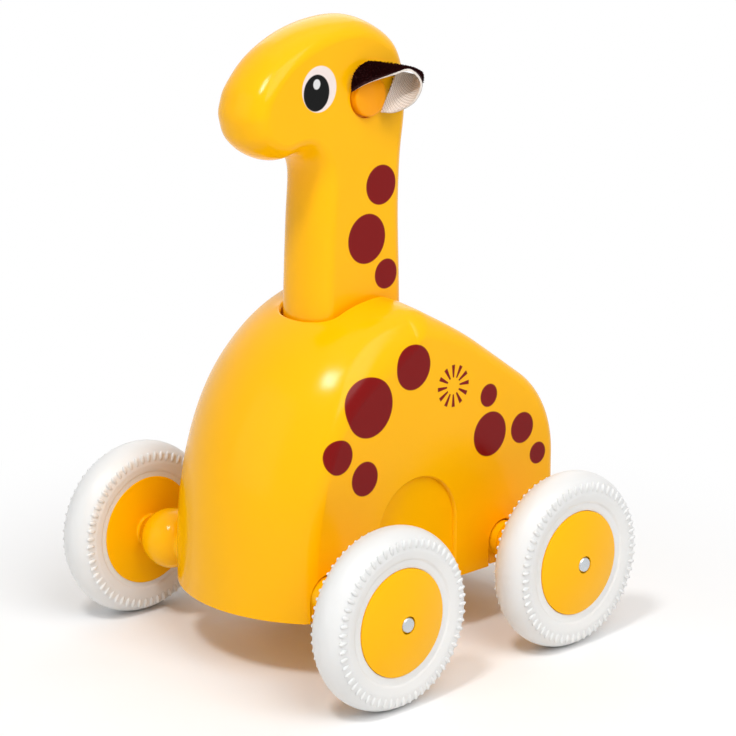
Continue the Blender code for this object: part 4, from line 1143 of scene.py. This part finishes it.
for word, side in SIDES:
    root = Vector((EAR_X, NECK_HALF_WIDTH, EAR_Z))
    rows = flowing(ear_stations(), 12)
    across = 14
    middle = []
    for i, row in enumerate(rows):
        rim = root + EAR_WIDTH * Vector(row[:3])
        inner = root + EAR_WIDTH * Vector(row[3:])
        arch = EAR_ARCH * (1.0 - ease(i / (EAR_ARCH_REACH * len(rows))))
        line = []
        for j in range(across + 1):
            t = j / across
            line.append(rim.lerp(inner, t) + 4.0 * t * (1.0 - t) * arch)
        middle.append(line)
    layers = ([], [])
    for i, line in enumerate(middle):
        before = middle[max(i - 1, 0)]
        after = middle[min(i + 1, len(middle) - 1)]
        for j, p in enumerate(line):
            along = after[j] - before[j]
            wide = line[min(j + 1, across)] - line[max(j - 1, 0)]
            normal = along.cross(wide).normalized()
            for layer, sign in zip(layers, (1.0, -1.0)):
                q = p + normal * sign * 0.5 * RIBBON_THICKNESS
                layer.append((q.x, side * q.y, q.z))
    size = across + 1
    count = len(middle)
    shift = count * size
    faces = []
    for i in range(count - 1):
        for j in range(across):
            a = i * size + j
            b = a + size
            faces.append((a, a + 1, b + 1, b))
            faces.append((shift + a, shift + b, shift + b + 1, shift + a + 1))
        for j in (0, across):
            a = i * size + j
            faces.append((a, a + size, shift + a + size, shift + a))
    for i in (0, count - 1):
        for j in range(across):
            a = i * size + j
            faces.append((a, a + 1, shift + a + 1, shift + a))
    ribbon = finished("ear_ribbon_cloth_" + word, layers[0] + layers[1], faces, ear_cloth, 60.0)
    side_mark = ribbon.data.attributes.new("pile_side", "FLOAT", "POINT")
    side_mark.data.foreach_set("value", [1.0] * (shift + size) + [0.0] * (shift - size))
    lie = ribbon.data.attributes.new("lie", "FLOAT_VECTOR", "POINT")
    places = []
    for k in range(2 * shift):
        i, j = divmod(k % shift, size)
        places += [EAR_WIDTH * j / across, EAR_LENGTH * i / (count - 1), 0.0]
    lie.data.foreach_set("vector", places)
    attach(ribbon, "neck")
    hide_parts("ear_ribbon_" + word)
    outer = []
    for i in range(count - 1):
        for j in range(UPPER_BARE_COLUMNS if i < EAR_TURN_ROW else LOWER_BARE_COLUMNS, across - 1):
            a = i * size + j
            outer.append((a, a + 1, a + size + 1, a + size))
    pile = finished("ear_pile_" + word, layers[0], outer, ear_pile, 60.0)
    bm = bmesh.new()
    bm.from_mesh(pile.data)
    bm.normal_update()
    if sum(f.normal.z for f in bm.faces if f.calc_center_median().z > EAR_Z + EAR_TOP_HALF) < 0.0:
        bmesh.ops.reverse_faces(bm, faces=bm.faces)
    bm.to_mesh(pile.data)
    bm.free()
    grown(pile, pile_tree, {
        "Count": PILE_COUNT,
        "Length": PILE_LENGTH,
        "Width": PILE_WIDTH,
        "Seed": PILE_SEED,
        "Material": ear_pile,
    })
    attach(pile, "neck")

# Floor and light
# A plain white sweep under the toy, which fades to plain white away from it, and soft studio light: a broad
# softbox on the toy's left, a small one high over its front for the highlights, and weak ones above, behind
# and in front.
FADE_NEAR = 0.055
FADE_FAR = 0.19
ROOM_LIGHT = 0.28
FLOOR_WHITE = (0.92, 0.92, 0.92, 1.0)
FLOOR_REACH = 6
TOY_MIDDLE = Vector((0.0, 0.0, 0.08))

floor_material, tree, shader = new_material("pale_floor")
skinned(tree, shader, FLOOR_WHITE, dark_tone=0.99, low=0.75, high=0.85, bump=0.0)


def seen_rays(tree):
    """1 for rays that show the background: straight from the camera, mirrored or through glass."""
    path = node(tree, "ShaderNodeLightPath").outputs
    seen = maths(tree, "MAXIMUM", path["Is Camera Ray"], path["Is Glossy Ray"])
    return maths(tree, "MAXIMUM", seen, path["Is Transmission Ray"])


coords = node(tree, "ShaderNodeTexCoord")
away = gap_to(tree, coords.outputs["Object"], (0.0, 0.0, 0.0))
far = node(tree, "ShaderNodeMapRange", {"Value": away, "From Min": FADE_NEAR, "From Max": FADE_FAR},
           interpolation_type="SMOOTHSTEP")
glow = node(tree, "ShaderNodeEmission")
faded = maths(tree, "MULTIPLY", far, seen_rays(tree))
blend = node(tree, "ShaderNodeMixShader", {"Fac": faded, 1: shader, 2: glow})
wire(tree, tree.nodes["Material Output"], {"Surface": blend})
corners = [(FLOOR_REACH * u, FLOOR_REACH * v, 0) for u, v in ((-1, -1), (1, -1), (1, 1), (-1, 1))]
floor = finished("floor", corners, [(0, 1, 2, 3)], floor_material)


def softbox(name, place, width, power):
    """A square lamp that faces the toy's middle."""
    lamp = bpy.data.lights.new(name, "AREA")
    lamp.shape = "SQUARE"
    lamp.size = width
    lamp.energy = power
    ob = bpy.data.objects.new(name, lamp)
    scene.collection.objects.link(ob)
    ob.location = place
    ob.rotation_mode = "QUATERNION"
    ob.rotation_quaternion = (TOY_MIDDLE - Vector(place)).to_track_quat("-Z", "Y")


softbox("main_softbox", (0.16, 0.905, 1.00), 0.90, 9.5)
softbox("small_softbox", (0.718, 0.320, 1.202), 0.22, 7.0)
softbox("overhead_softbox", (-0.15, 0.10, 1.35), 1.20, 1.6)
softbox("back_softbox", (-0.75, -0.85, 0.85), 0.90, 2.6)
softbox("front_softbox", (1.05, -0.35, 0.50), 0.80, 1.2)

world = bpy.data.worlds.new("white_room")
scene.world = world
world.use_nodes = True
tree = world.node_tree
background = tree.nodes["Background"]
level = maths(tree, "ADD", maths(tree, "MULTIPLY", seen_rays(tree), 1.0 - ROOM_LIGHT), ROOM_LIGHT)
wire(tree, background, {"Color": (1.0, 1.0, 1.0, 1.0), "Strength": level})
